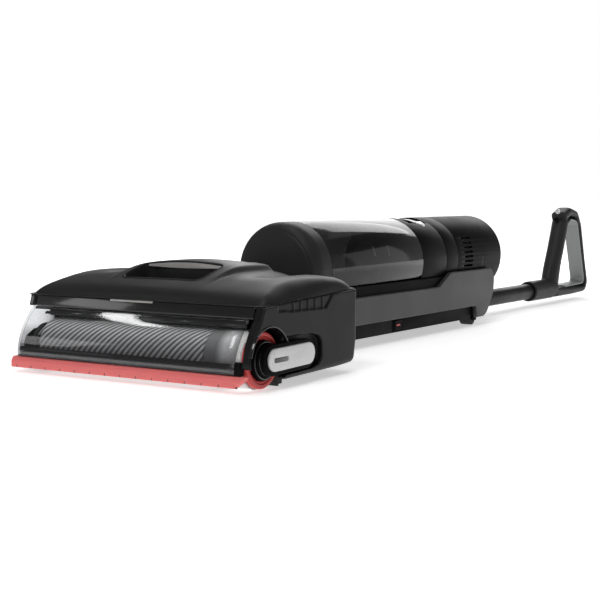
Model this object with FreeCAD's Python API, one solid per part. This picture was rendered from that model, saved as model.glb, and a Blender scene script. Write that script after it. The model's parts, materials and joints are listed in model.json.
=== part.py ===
"""Cordless lay-flat floor washer, lying flat on the floor.

Millimetres. +X is the machine's right side, +Y runs from the floor head to the handle, +Z is up.
Lengths along Y are measured from the front of the bumper strip. The whole machine is moved back
by half its length as it is written, so that the origin is on the floor below its middle.
"""
import FreeCAD
import Part
import math
import os

V = FreeCAD.Vector

# ---------------------------------------------------------------- driving dimensions
LENGTH = 1144.1            # bumper strip to the back of the handle
STRIP_HALF = 135.0         # half width of the bumper strip
HEAD_HALF = 140.0          # half width of the head over its side casings
HEAD_REAR = 186.0          # back of the head
WALL = 2.5                 # moulded wall thickness
RUN = 0.05                 # radial clearance of a running fit

ROLLER_R = 26.0            # brush roller over its pile
ROLLER_Y = 34.0
ROLLER_Z = ROLLER_R
ROLLER_LEFT = -108.0
ROLLER_RIGHT = 127.0
CORE_R = 19.0
SIDE_HOLE_R = 28.5         # round hole that the roller comes out of

NECK_Y = 168.0             # both neck axes cross here
NECK_Z = 52.0
YOKE_HALF = 9.8
FORK_IN = 10.2
FORK_OUT = 22.0
TILT_PIN_R = 6.0
SWIVEL_PIN_R = 9.0

BARREL_R = 51.4            # dirty tank and motor housing
BARREL_Z = 87.7
TANK_FRONT = 247.0
TANK_CAP_END = 280.0
TANK_END = 486.0
HOUSING_SEAM = 580.0
HOUSING_END = 712.0
CRADLE_R = 52.0            # the spine's seat below the barrel

SPINE_HALF = 50.0
SPINE_FRONT = 262.0
SPINE_REAR = 676.0
SPINE_TOP = 68.0
SPINE_BOTTOM = 31.5
BELLY_Z = 10.0             # underside of the clean tank and the battery
BELLY_SPLIT = 437.0        # clean tank in front, battery behind

TUBE_R = 11.5
TUBE_Z = 23.0
TUBE_SEAT_R = 11.3         # the tube's ends inside their sockets
TUBE_FRONT = 640.0
SOCKET_END = 700.0
COLLAR_FRONT = 920.0
TUBE_END = 965.0
GRIP_HALF = 13.0

WHEEL_R = 19.0
WHEEL_Y = 156.0
WHEEL_X = 93.0
ROLL_R = 10.0              # small support rollers below the body
ROLL_Y = 640.0

PLATE_LOW = 9.0            # floor plate of the head
PLATE_TOP = 13.0
INNER_HALF = 130.5         # half width of the head between its casings
CHASSIS_TOP = 72.0
HUMP_HALF = 62.0
PANEL_FACE = 55.0          # outer face of the grey side panels
VENT_COUNT = 7
VENT_TOP = 112.5
VENT_PITCH = 5.7
VENT_SLOT = 2.8

NODES = {}


# ---------------------------------------------------------------- helpers
def box(x0, x1, y0, y1, z0, z1):
    return Part.makeBox(x1 - x0, y1 - y0, z1 - z0, V(x0, y0, z0))


def cyl_x(r, x0, x1, y, z):
    return Part.makeCylinder(r, x1 - x0, V(x0, y, z), V(1, 0, 0))


def cyl_y(r, y0, y1, z, x=0.0):
    return Part.makeCylinder(r, y1 - y0, V(x, y0, z), V(0, 1, 0))


def cyl_z(r, z0, z1, x, y):
    return Part.makeCylinder(r, z1 - z0, V(x, y, z0), V(0, 0, 1))


def fuse(shapes):
    joined = shapes[0].fuse(shapes[1:]) if len(shapes) > 1 else shapes[0]
    return joined.removeSplitter()


def cut(shape, tools):
    return shape.cut(tools).removeSplitter()


def outline(points, radii):
    """Closed wire through (u, v) corners in the YZ plane, each rounded by its radius."""
    edges = []
    ends = []
    count = len(points)
    for i in range(count):
        before = V(0, *points[i - 1])
        here = V(0, *points[i])
        after = V(0, *points[(i + 1) % count])
        r = radii[i] if isinstance(radii, (list, tuple)) else radii
        if r <= 0:
            ends.append((here, here, None))
            continue
        d0 = (before - here).normalize()
        d1 = (after - here).normalize()
        half = math.acos(max(-1.0, min(1.0, d0.dot(d1)))) / 2
        reach = r / math.tan(half)
        centre = here + (d0 + d1).normalize() * (r / math.sin(half))
        middle = centre + (here - centre).normalize() * r
        ends.append((here + d0 * reach, here + d1 * reach, middle))
    for i in range(count):
        start, end, middle = ends[i]
        if middle is not None:
            edges.append(Part.Arc(start, middle, end).toShape())
        following = ends[(i + 1) % count][0]
        if end.distanceToPoint(following) > 1e-6:
            edges.append(Part.LineSegment(end, following).toShape())
    return Part.Wire(edges)


def slab(points, x0, x1, radii=0.0):
    """The YZ outline as a solid from x0 to x1."""
    face = Part.Face(outline(points, radii))
    face.translate(V(x0, 0, 0))
    return face.extrude(V(x1 - x0, 0, 0))


def ring_x(r_out, r_in, x0, x1, y, z):
    return cyl_x(r_out, x0, x1, y, z).cut(cyl_x(r_in, x0 - 1, x1 + 1, y, z))


def ring_y(r_out, r_in, y0, y1, z, x=0.0):
    return cyl_y(r_out, y0, y1, z, x).cut(cyl_y(r_in, y0 - 1, y1 + 1, z, x))


def rounded(shape, radius, chosen):
    """Fillet the edges for which chosen(edge's centre, edge) is true."""
    edges = [e for e in shape.Edges if chosen(e.CenterOfMass, e)]
    return shape.makeFillet(radius, edges)


def node(name, *shapes):
    NODES[name] = list(shapes)


# ---------------------------------------------------------------- floor head
LIP_FRONT = [(22.0, 61.0), (31.0, 72.0), (44.0, 72.0), (44.0, 61.0)]
LEFT_WALL = (-113.0, -110.0)       # inner wall, beside the roller
DRIVE_WALL = (-128.0, -125.0)      # outer wall, beyond the drive belt
RIGHT_WALL = (124.5, INNER_HALF)
POCKET_HALF = 56.0                 # room at the back for the neck to swing
POCKET_FRONT = 138.0
NOTCH_HALF = 44.0                  # gap in the lid's back for the upright neck
PULLEY_X = (-123.0, -116.0)
MOTOR_Y = 92.0
MOTOR_Z = 40.0
SMALL_PULLEY_R = 7.0
LARGE_PULLEY_R = 17.5


CASING_REAR = [(62.0, 6.5), (150.0, 8.2), (177.0, 9.6), (181.0, 30.0), (182.0, 79.0)]
CASING_REAR_RADII = [0, 0, 7, 0, 0]
CASING_CORNER = 6.0                # upright rear corner, seen from above


def head_side():
    """Side view of the head below its lid, as (y, z) corners."""
    return CASING_REAR + [(26.0, 72.0), (20.0, 60.0), (12.5, 50.0), (6.5, 38.0), (4.0, 26.0), (4.0, 22.0),
                          (12.0, 17.0), (40.0, 16.2)]


def drive_wall_outline():
    """The two walls beside the belt stand low in front, under the clear cover's left end."""
    return [(60.0, 9.0), (180.0, 9.0), (180.0, 72.0), (58.0, 72.0), (52.0, 48.0), (40.0, 41.0), (24.0, 40.0),
            (13.0, 34.0), (10.0, 26.0), (10.8, 17.0), (30.0, 17.0)]


def wall_outline():
    """The right end wall stays inside the clear cover."""
    return [(60.0, 9.0), (180.0, 9.0), (180.0, 72.0), (45.0, 72.0), (45.0, 60.5), (34.0, 60.5),
            (26.0, 56.0), (15.0, 44.0), (10.0, 32.0), (9.2, 26.0), (10.4, 17.0), (30.0, 17.0)]


def head_chassis():
    plate = box(LEFT_WALL[0], RIGHT_WALL[1], 62, 180, PLATE_LOW, PLATE_TOP)
    left_plate = box(-INNER_HALF, LEFT_WALL[0], 62, 180, PLATE_LOW, PLATE_TOP)
    arc_out = cyl_x(33.0, LEFT_WALL[0], RIGHT_WALL[0], ROLLER_Y, ROLLER_Z)
    arc_in = cyl_x(30.0, LEFT_WALL[0] - 1, RIGHT_WALL[0] + 1, ROLLER_Y, ROLLER_Z)
    keep = box(-200, 200, ROLLER_Y + 5, 70, 9, 62)
    hood = arc_out.cut(arc_in).common(keep)
    ledge = box(LEFT_WALL[0], RIGHT_WALL[0], 34, 62, 57.5, 60.5).cut(arc_in)
    walls = [slab(drive_wall_outline(), x0, x1) for x0, x1 in (LEFT_WALL, DRIVE_WALL)]
    walls.append(slab(wall_outline(), *RIGHT_WALL))
    back = box(-INNER_HALF, RIGHT_WALL[1], 177, 180, PLATE_LOW, CHASSIS_TOP)
    pocket_front = box(-POCKET_HALF - 3, POCKET_HALF + 3, POCKET_FRONT - 3, POCKET_FRONT,
                       PLATE_LOW, CHASSIS_TOP)
    pocket_sides = [box(*sorted((s * POCKET_HALF, s * (POCKET_HALF + 3))), POCKET_FRONT - 3, 180,
                        PLATE_LOW, CHASSIS_TOP) for s in (-1, 1)]
    boss = cyl_z(17, PLATE_LOW, 30, 0, NECK_Y)
    brackets = [box(s * WHEEL_X + dx - 3, s * WHEEL_X + dx + 3, WHEEL_Y - 8, WHEEL_Y + 8,
                    PLATE_LOW, 27) for s in (-1, 1) for dx in (-12, 12)]
    axles = [cyl_x(3, s * WHEEL_X - 12, s * WHEEL_X + 12, WHEEL_Y, WHEEL_R) for s in (-1, 1)]
    posts = [cyl_z(4, PLATE_LOW, 26, x, y) for x, y in screw_places()]
    solid = fuse([plate, left_plate, hood, ledge, back, pocket_front, boss]
                 + walls + pocket_sides + brackets + axles + posts)
    tools = [cyl_x(28.0, RIGHT_WALL[0] - 1, RIGHT_WALL[1] + 1, ROLLER_Y, ROLLER_Z),
             cyl_x(11.0, LEFT_WALL[0] - 1, LEFT_WALL[1] + 1, ROLLER_Y, ROLLER_Z),
             cyl_x(16.1, LEFT_WALL[0] - 1, LEFT_WALL[1] + 1, MOTOR_Y, MOTOR_Z),
             box(-POCKET_HALF, POCKET_HALF, POCKET_FRONT, 190, 30, 80),
             cyl_z(SWIVEL_PIN_R + RUN, 13, 31, 0, NECK_Y)]
    for s in (-1, 1):
        tools.append(box(s * WHEEL_X - 9, s * WHEEL_X + 9, WHEEL_Y - 22, 176, 8, 14))
    tools += [cyl_z(1.5, 9, 24, x, y) for x, y in screw_places()]
    tools.append(box(-19, 19, 60, 68, 14, 26))
    tools.append(box(-19, 19, POCKET_FRONT - 4, POCKET_FRONT + 1, 34, 46))
    tools.append(cyl_x(3.2, -122, -112, MOTOR_Y, MOTOR_Z))
    node("head_chassis", cut(solid, tools))


def screw_places():
    return [(s * x, y) for s in (-1, 1) for x, y in ((40, 80), (98, 75), (70, 125))]


def floor_plate_screws():
    screws = [fuse([cyl_z(3.2, 7, 9, x, y), cyl_z(1.5, 9, 24, x, y)]) for x, y in screw_places()]
    node("floor_plate_screws", *screws)


def lid_shell(drop):
    """Crowned lid, drawn once at full size and once smaller by drop to hollow it."""
    rise = [(26 + drop, 60), (26 + drop, 74 - drop), (42, 86 - drop), (66, 92.5 - drop),
            (105, 96 - drop), (150, 94 - drop), (176 - drop, 86 - drop), (HEAD_REAR - drop, 76),
            (HEAD_REAR - drop, 60)]
    side = slab(rise, -200, 200, [0, 3, 30, 40, 60, 40, 12, 6, 0])
    edge = HEAD_HALF - 2 - drop
    front = [(-edge, 60), (-edge, 78), (-edge + 14, 90 - drop), (-edge + 40, 96 - drop),
             (edge - 40, 96 - drop), (edge - 14, 90 - drop), (edge, 78), (edge, 60)]
    across = slab(front, 0, 300, [0, 8, 14, 60, 60, 14, 8, 0])
    across.rotate(V(0, 0, 0), V(0, 0, 1), 90)
    across = across.mirror(V(0, 0, 0), V(1, 0, 0))
    span = across.BoundBox
    across.translate(V(0, -span.YMin, 0))
    return side.common(across)


def hump_shell(drop):
    """Raised middle of the lid, a fork round the neck at its back."""
    rise = [(44 + drop, 60), (46 + drop, 86 - drop), (92, 103 - drop), (140, 104.5 - drop),
            (160 - drop, 96 - drop), (162 - drop, 60)]
    return slab(rise, -HUMP_HALF + drop, HUMP_HALF - drop, [0, 10, 50, 30, 6, 0])


def top_cover():
    outer = fuse([lid_shell(0), hump_shell(0)])
    inner = fuse([lid_shell(WALL), hump_shell(WALL)])
    low = slab([(0, 0), (300, 0), (300, 84.8), (182, 79.5), (26, 72.5), (0, 71.3)], -200, 200)
    shell = outer.cut(inner).cut(low)
    notch = slab([(POCKET_FRONT, 60), (220, 60), (220, 120), (POCKET_FRONT, 120)], -NOTCH_HALF, NOTCH_HALF)
    recess = box(-46, 46, 56, 100, 91.5, 120)
    floor = box(-49, 49, 53, 103, 89.0, 91.5).common(outer)
    shell = fuse([shell.cut([notch]), floor])
    shell = cut(shell, [recess])
    node("top_cover", shell)


def hump_lens():
    lens = slab([(97.0, 91.7), (99.6, 91.7), (99.6, 101.2), (97.8, 101.2)], -43, 43)
    node("hump_lens", lens)


def front_lip():
    lip = slab(LIP_FRONT, -130, 124, [1, 1, 0, 0])
    light_bar_seat = box(-33, 17, 26, 34, 71.0, 73)
    node("front_lip", cut(lip, [light_bar_seat]))


def side_casings():
    recess = slab([(30, 10.5), (100, 12.5), (117, 17), (117, 40), (100, 44), (30, 45)], 134, 150,
                  [0, 0, 10, 10, 0, 0])
    right = slab(head_side(), 131.0, HEAD_HALF, CASING_REAR_RADII + [0] * 8)
    right = rounded(right, CASING_CORNER, at_rear_corner)
    right = right.cut([cyl_x(SIDE_HOLE_R, 130, 141, ROLLER_Y, ROLLER_Z), recess])
    band = [(46, 67), (60, 67), (64, 66), (124, 65), (136, 77), (46, 73.2)]
    node("side_casing_right", ribbed(right, band))
    left = slab([(64.0, 6.5)] + CASING_REAR[1:] + [(64.0, 73.7)], 131.0, HEAD_HALF, CASING_REAR_RADII + [0])
    left = rounded(left, CASING_CORNER, at_rear_corner)
    bulge = slab([(78, 20), (140, 22), (150, 40), (140, 56), (80, 54)], HEAD_HALF - 0.5, 145,
                 [10, 10, 8, 10, 10])
    left = ribbed(left.fuse(bulge), [(66, 66), (124, 65), (136, 77), (66, 74.0)])
    node("side_casing_left", left.mirror(V(0, 0, 0), V(1, 0, 0)))


def at_rear_corner(middle, edge):
    """The casing's outer upright edges at the back."""
    return middle.x > HEAD_HALF - 0.1 and middle.y > 175.0


def ribbed(casing, band):
    """Sink a band into the casing's shoulder and leave upright ribs in it."""
    pocket = slab(band, HEAD_HALF - 1.2, HEAD_HALF + 5)
    ribs = [box(HEAD_HALF - 1.3, HEAD_HALF, y, y + 1.2, 65, 78) for y in (70, 82, 94, 106, 118)]
    return cut(casing, [pocket.cut(ribs)])


def squeegee():
    flap = slab([(61.0, 13.5), (64.0, 13.5), (64.0, 0.0), (61.5, 0.0)], -128, 128)
    rail = slab([(59.4, 14.0), (60.8, 14.0), (60.8, 3.5), (59.4, 3.5)], -128, 128)
    back_rail = slab([(64.2, 9.5), (69.0, 9.5), (66.0, 3.0), (64.2, 3.0)], -128, 128)
    slot = box(-129, 129, 60.8, 64.2, 0, 13.6)
    NODES["head_chassis"] = [cut(fuse([NODES["head_chassis"][0], rail, back_rail]), [slot])]
    node("rear_squeegee", flap)


def head_drive():
    motor = cyl_x(16, -112.5, -52, MOTOR_Y, MOTOR_Z)
    motor = cut(motor, [cyl_x(3 + RUN, -113, -95, MOTOR_Y, MOTOR_Z)])
    node("brush_motor", motor)
    shaft = cyl_x(3, -124, -96, MOTOR_Y, MOTOR_Z)
    small = cyl_x(SMALL_PULLEY_R, *PULLEY_X, MOTOR_Y, MOTOR_Z)
    node("motor_pulley", fuse([shaft, small]))
    large = cyl_x(LARGE_PULLEY_R, *PULLEY_X, ROLLER_Y, ROLLER_Z)
    stub = cyl_x(6, -127.8, PULLEY_X[0], ROLLER_Y, ROLLER_Z)
    neck_part = cyl_x(5.5, PULLEY_X[1], -109, ROLLER_Y, ROLLER_Z)
    node("drive_pulley", fuse([large, stub, neck_part, hexagon(6.7, -109, -98)]))
    bearing = ring_x(11, 5.5 + RUN, *LEFT_WALL, ROLLER_Y, ROLLER_Z)
    outer = ring_x(9, 6 + RUN, DRIVE_WALL[0], DRIVE_WALL[1], ROLLER_Y, ROLLER_Z)
    NODES["head_chassis"] = [cut(NODES["head_chassis"][0],
                                 [cyl_x(9, DRIVE_WALL[0] - 1, DRIVE_WALL[1] + 1, ROLLER_Y, ROLLER_Z)])]
    node("drive_bearings", bearing, outer)
    node("drive_belt", belt())


def hexagon(radius, x0, x1):
    corners = [(ROLLER_Y + radius * math.cos(math.radians(60 * k)),
                ROLLER_Z + radius * math.sin(math.radians(60 * k))) for k in range(6)]
    return slab(corners, x0, x1)


def belt():
    """Loop round both pulleys, tangent to each."""
    def loop(extra):
        dy = MOTOR_Y - ROLLER_Y
        dz = MOTOR_Z - ROLLER_Z
        span = math.hypot(dy, dz)
        tilt = math.atan2(dz, dy)
        spread = math.acos((LARGE_PULLEY_R - SMALL_PULLEY_R) / span)
        big = LARGE_PULLEY_R + extra
        small = SMALL_PULLEY_R + extra

        def at(cy, cz, r, angle):
            return V(0, cy + r * math.cos(angle), cz + r * math.sin(angle))
        up = tilt + spread
        down = tilt - spread
        a = at(ROLLER_Y, ROLLER_Z, big, up)
        b = at(ROLLER_Y, ROLLER_Z, big, down)
        back = at(ROLLER_Y, ROLLER_Z, big, tilt + math.pi)
        c = at(MOTOR_Y, MOTOR_Z, small, down)
        d = at(MOTOR_Y, MOTOR_Z, small, up)
        nose = at(MOTOR_Y, MOTOR_Z, small, tilt)
        wire = Part.Wire([Part.Arc(a, back, b).toShape(), Part.LineSegment(b, c).toShape(),
                          Part.Arc(c, nose, d).toShape(), Part.LineSegment(d, a).toShape()])
        face = Part.Face(wire)
        face.translate(V(PULLEY_X[0] + 1, 0, 0))
        return face.extrude(V(PULLEY_X[1] - PULLEY_X[0] - 2, 0, 0))
    return loop(1.6).cut(loop(0.2))


def head_water():
    bar = cyl_x(3.0, -108, 120, 27.5, 56.4)
    nozzles = [cyl_z(1.2, 52.6, 55.0, x, 27.5) for x in range(-90, 120, 30)]
    node("spray_bar", fuse([bar] + nozzles))
    duct = box(-18, 18, 66.5, POCKET_FRONT - 4.5, 15, 26)
    rise = box(-18, 18, 110, POCKET_FRONT - 4.5, 15, 46)
    hollow = box(-16, 16, 66, 134, 17, 24)
    hollow_rise = box(-16, 16, 112, POCKET_FRONT, 24, 44)
    duct = cut(fuse([duct, rise]), [hollow, hollow_rise])
    node("suction_duct", duct)


def rear_wheels():
    for side, name in ((-1, "left"), (1, "right")):
        x = side * WHEEL_X
        wheel = ring_x(WHEEL_R, 3 + RUN, x - 7, x + 7, WHEEL_Y, WHEEL_R)
        dishes = [ring_x(14, 6, x + d - 1, x + d + 1, WHEEL_Y, WHEEL_R) for d in (-7, 7)]
        wheel = rounded(wheel, 1.5, lambda c, e: e.Length > 100)
        node("rear_wheel_" + name, cut(wheel, dishes))


# ---------------------------------------------------------------- brush cover
WINDOW_OUT = [(2.0, 15.8), (2.0, 19.0), (3.4, 28.0), (7.0, 38.0), (14.2, 49.8), (22.6, 59.6)]
WINDOW_WALL = 2.0
WINDOW_LEFT = -132.5
WINDOW_RIGHT = 123.8


def brush_cover():
    inner = [(24.2, 58.4), (15.9, 48.7), (8.8, 37.3), (5.4, 27.6), (4.0, 18.8), (4.0, 15.8)]
    panel = slab(WINDOW_OUT + inner, WINDOW_LEFT, WINDOW_RIGHT)
    end = slab(WINDOW_OUT + [(34.0, 59.6), (56.0, 50.0), (61.0, 36.0), (61.0, 15.8)],
               WINDOW_LEFT, WINDOW_LEFT + WINDOW_WALL)
    node("brush_window", fuse([panel, end]))
    beam = slab([(4.2, 15.4), (7.2, 15.4), (7.2, 25.0), (5.4, 25.0), (4.2, 19.0)], -129, 123)
    node("scraper_bar", beam)
    strip = slab([(0, 5), (0, 11.8), (2.6, 15.3), (8.6, 15.3), (9.0, 12.0), (7.6, 8.0), (3.0, 5)],
                 -STRIP_HALF, STRIP_HALF, [0.6, 3, 2, 0.8, 0, 0, 0.6])
    notches = [box(18.2 * k - 0.5, 18.2 * k + 0.5, -1, 1.4, 4, 8.0) for k in range(-7, 8)]
    node("bumper_strip", cut(strip, notches))


# ---------------------------------------------------------------- roller and its lever
def roller():
    core = ring_x(CORE_R, 15.5, ROLLER_LEFT, ROLLER_RIGHT, ROLLER_Y, ROLLER_Z)
    left_plug = cyl_x(15.5, ROLLER_LEFT, ROLLER_LEFT + 16, ROLLER_Y, ROLLER_Z)
    left_plug = left_plug.cut(hexagon(7.0, ROLLER_LEFT - 1, ROLLER_LEFT + 11))
    right_plug = ring_x(15.5, 9.0, 106, ROLLER_RIGHT, ROLLER_Y, ROLLER_Z)
    node("roller_core", fuse([core, left_plug, right_plug]))
    node("roller_pile", ring_x(ROLLER_R, CORE_R, ROLLER_LEFT + 1, ROLLER_RIGHT, ROLLER_Y, ROLLER_Z))
    face = ring_x(25.2, 18.2, ROLLER_RIGHT + 0.1, 132.0, ROLLER_Y, ROLLER_Z)
    node("roller_end_ring", rounded(face, 1.2, lambda c, e: c.x > 131.9))
    node("roller_bearing", ring_x(9.0, 5 + RUN, 110, 122, ROLLER_Y, ROLLER_Z))


def roller_carrier():
    spindle = cyl_x(5, 108, 129, ROLLER_Y, ROLLER_Z)
    hub = cyl_x(17.6, 128, 134.5, ROLLER_Y, ROLLER_Z)
    step = cyl_x(14.5, 134.5, 137, ROLLER_Y, ROLLER_Z)
    arm = slab([(21.5, 12.6), (101.0, 14.6), (101.0, 41.0), (21.5, 39.6)], 137, 142.4,
               [13, 12.5, 12.5, 13])
    node("roller_lever", fuse([spindle, hub, step, arm]))
    plate = slab([(25.3, 16.8), (97.3, 18.2), (97.3, 37.6), (25.3, 36.6)], 142.4, 145,
                 [9.6, 9.4, 9.4, 9.6])
    finger_slot = box(143.6, 146, 34, 55, 25.2, 28.4)
    node("lever_plate", cut(plate, [finger_slot]))


# ---------------------------------------------------------------- neck
def neck():
    pin = cyl_z(SWIVEL_PIN_R, 13.4, 31.0, 0, NECK_Y)
    disc = cyl_z(16.5, 30.4, 36.0, 0, NECK_Y)
    block = box(-YOKE_HALF, YOKE_HALF, NECK_Y - 12, NECK_Y + 12, 36, 66)
    block = rounded(block, 8, lambda c, e: abs(c.z - 66) < 0.1 and abs(abs(c.y - NECK_Y) - 12) < 0.1)
    yoke = cut(fuse([pin, disc, block]), [cyl_x(TILT_PIN_R, -30, 30, NECK_Y, NECK_Z)])
    node("neck_yoke", yoke)
    node("neck_tilt_pin", cyl_x(TILT_PIN_R, -FORK_OUT, FORK_OUT, NECK_Y, NECK_Z))
    ears = []
    for s in (-1, 1):
        x0, x1 = sorted((s * FORK_IN, s * FORK_OUT))
        ears.append(cyl_x(15, x0, x1, NECK_Y, NECK_Z))
        ears.append(slab([(NECK_Y, 40), (196, 40), (214, 26), (214, 50), (200, 64), (NECK_Y, 67)], x0, x1))
    bridge = slab([(192, 42.7), (214, 26), (240, 22), (262, 22), (262, 35.6), (244, 36), (240, 40),
                   (228, 46), (200, 64), (192, 64.7)], -FORK_OUT, FORK_OUT)
    plate = box(-40, 40, 254, 262, 14, 35.6)
    fork = fuse(ears + [bridge, plate])
    fork = cut(fork, [cyl_x(TILT_PIN_R + RUN, -30, 30, NECK_Y, NECK_Z)])
    node("neck_fork", fork)


# ---------------------------------------------------------------- body
def spine():
    side = [(SPINE_FRONT, SPINE_BOTTOM), (SPINE_FRONT, 60), (270, SPINE_TOP), (SPINE_REAR, SPINE_TOP),
            (SPINE_REAR, 40), (656, 15), (624, 15), (624, SPINE_BOTTOM)]
    hull = slab(side, -SPINE_HALF, SPINE_HALF, [0, 4, 10, 4, 20, 12, 0, 0])
    socket = cyl_y(17, 660, SOCKET_END, TUBE_Z)
    hull = fuse([hull, socket])
    tools = [cyl_y(CRADLE_R, 240, 730, BARREL_Z),
             cyl_y(TUBE_SEAT_R, TUBE_FRONT, SOCKET_END + 1, TUBE_Z)]
    for s in (-1, 1):
        x0, x1 = sorted((s * 27.0, s * 43.0))
        tools.append(box(x0, x1, ROLL_Y - 12, ROLL_Y + 12, 8, 23))
    axle_blocks = [box(*sorted((s * a, s * b)), ROLL_Y - 5, ROLL_Y + 5, 6, 16)
                   for s in (-1, 1) for a, b in ((24, 26.9), (43.1, 46))]
    latch_block = box(-10, SPINE_HALF - 0.5, BELLY_SPLIT - 23, BELLY_SPLIT - 0.5, BELLY_Z, SPINE_BOTTOM)
    latch_seat = box(41, 60, BELLY_SPLIT - 20, BELLY_SPLIT - 3, 12.4, 24.6)
    axles = [cyl_x(2.5, *sorted((s * 25, s * 45)), ROLL_Y, ROLL_R) for s in (-1, 1)]
    hull = cut(fuse([hull, latch_block]), tools + [latch_seat])
    hull = fuse([hull] + axle_blocks + axles)
    node("spine_frame", hull)


def side_panels():
    shape = [(264, 26), (264, 56.5), (521, 56.5), (552, 72.4), (672, 72.4), (680, 58), (677, 40),
             (655, 11), (628, 11), (624, 26)]
    radii = [3, 8, 14, 14, 8, 12, 22, 22, 3, 3]
    for s, name in ((-1, "left"), (1, "right")):
        x0, x1 = sorted((s * (SPINE_HALF + 0.1), s * PANEL_FACE))
        panel = slab(shape, x0, x1, radii)
        panel = rounded(panel, 1.4, lambda c, e: abs(abs(c.x) - PANEL_FACE) < 0.01)
        node("side_panel_" + name, panel)


def clean_tank():
    outer = slab([(268, BELLY_Z), (BELLY_SPLIT - 24, BELLY_Z), (BELLY_SPLIT - 24, 31), (268, 31)],
                 -SPINE_HALF + 0.5, SPINE_HALF - 0.5, [5, 0, 0, 3])
    hollow = box(-47.5, 47.5, 270, BELLY_SPLIT - 26, BELLY_Z + 2, 29)
    bottom_port = cyl_z(8, 28, 32, -30, 300)
    tank = cut(outer, [hollow, bottom_port])
    node("clean_water_tank", tank)
    plug = fuse([cyl_z(8, 29, 31, -30, 300), cyl_z(5, 24, 29, -30, 300)])
    node("clean_tank_cap", plug)
    node("water_pump", fuse([box(-40, -12, BELLY_SPLIT - 23, BELLY_SPLIT - 1, 12, 30),
                             cyl_y(2.5, BELLY_SPLIT - 23.5, BELLY_SPLIT - 23, 20, -26)]))


def battery():
    case = slab([(BELLY_SPLIT, BELLY_Z), (620, BELLY_Z), (620, 31), (BELLY_SPLIT, 31)],
                -SPINE_HALF + 0.5, SPINE_HALF - 0.5, [2, 3, 3, 0])
    room = box(-46, 46, BELLY_SPLIT + 3, 616, BELLY_Z + 1.4, 29.6)
    node("battery_case", cut(case, [room]))
    cells = [cyl_x(9, x0, x0 + 44, BELLY_SPLIT + 14 + 20.5 * k, BELLY_Z + 10.5)
             for k in range(8) for x0 in (-45, 1)]
    node("battery_cells", *cells)
    button = box(43.4, 50.8, BELLY_SPLIT - 19.7, BELLY_SPLIT - 3.3, 12.7, 24.3)
    button = rounded(button, 1.2, lambda c, e: c.x > 50.7)
    node("battery_latch", button)


def support_rollers():
    node("support_rollers", *[ring_x(ROLL_R, 2.5 + RUN, *sorted((s * 28, s * 42)), ROLL_Y, ROLL_R)
                              for s in (-1, 1)])


def dirty_tank():
    tube = ring_y(BARREL_R, BARREL_R - 2.2, TANK_CAP_END, TANK_END, BARREL_Z)
    node("tank_tube", tube)
    cap = cyl_y(BARREL_R, TANK_FRONT, TANK_CAP_END - 0.2, BARREL_Z)
    cap = rounded(cap, 10, lambda c, e: abs(c.y - TANK_FRONT) < 0.1)
    spigot = cyl_y(BARREL_R - 2.4, TANK_CAP_END - 1, TANK_CAP_END + 6, BARREL_Z)
    hollow = cyl_y(BARREL_R - 5, TANK_FRONT + 3, TANK_CAP_END + 7, BARREL_Z)
    node("tank_front_cap", cut(fuse([cap, spigot]), [hollow]))
    groove = ring_y(BARREL_R - 2.2, BARREL_R - 3.6, TANK_CAP_END + 1.5, TANK_CAP_END + 4.0, BARREL_Z)
    NODES["tank_front_cap"] = [cut(NODES["tank_front_cap"][0], [groove])]
    node("tank_seal", ring_y(BARREL_R - 2.25, BARREL_R - 3.6, TANK_CAP_END + 1.6, TANK_CAP_END + 3.9,
                             BARREL_Z))
    lid = cyl_y(BARREL_R - 2.4, TANK_END - 14, TANK_END - 0.5, BARREL_Z)
    filter_seat = cyl_y(34, TANK_END - 9, TANK_END, BARREL_Z)
    air_hole = cyl_y(13, TANK_END - 15, TANK_END, BARREL_Z)
    lid = cut(lid, [filter_seat, air_hole])
    node("tank_filter", ring_y(33.8, 6, TANK_END - 8.8, TANK_END - 1, BARREL_Z))
    pipe = ring_y(12, 10, TANK_FRONT + 3.2, 430, BARREL_Z - 20)
    node("intake_pipe", pipe)
    cage = ring_y(20, 18, 440, TANK_END - 13, BARREL_Z + 8)
    node("tank_lid", fuse([lid, cage]))
    node("tank_float", cyl_y(17.6, 441, 456, BARREL_Z + 8))


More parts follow.
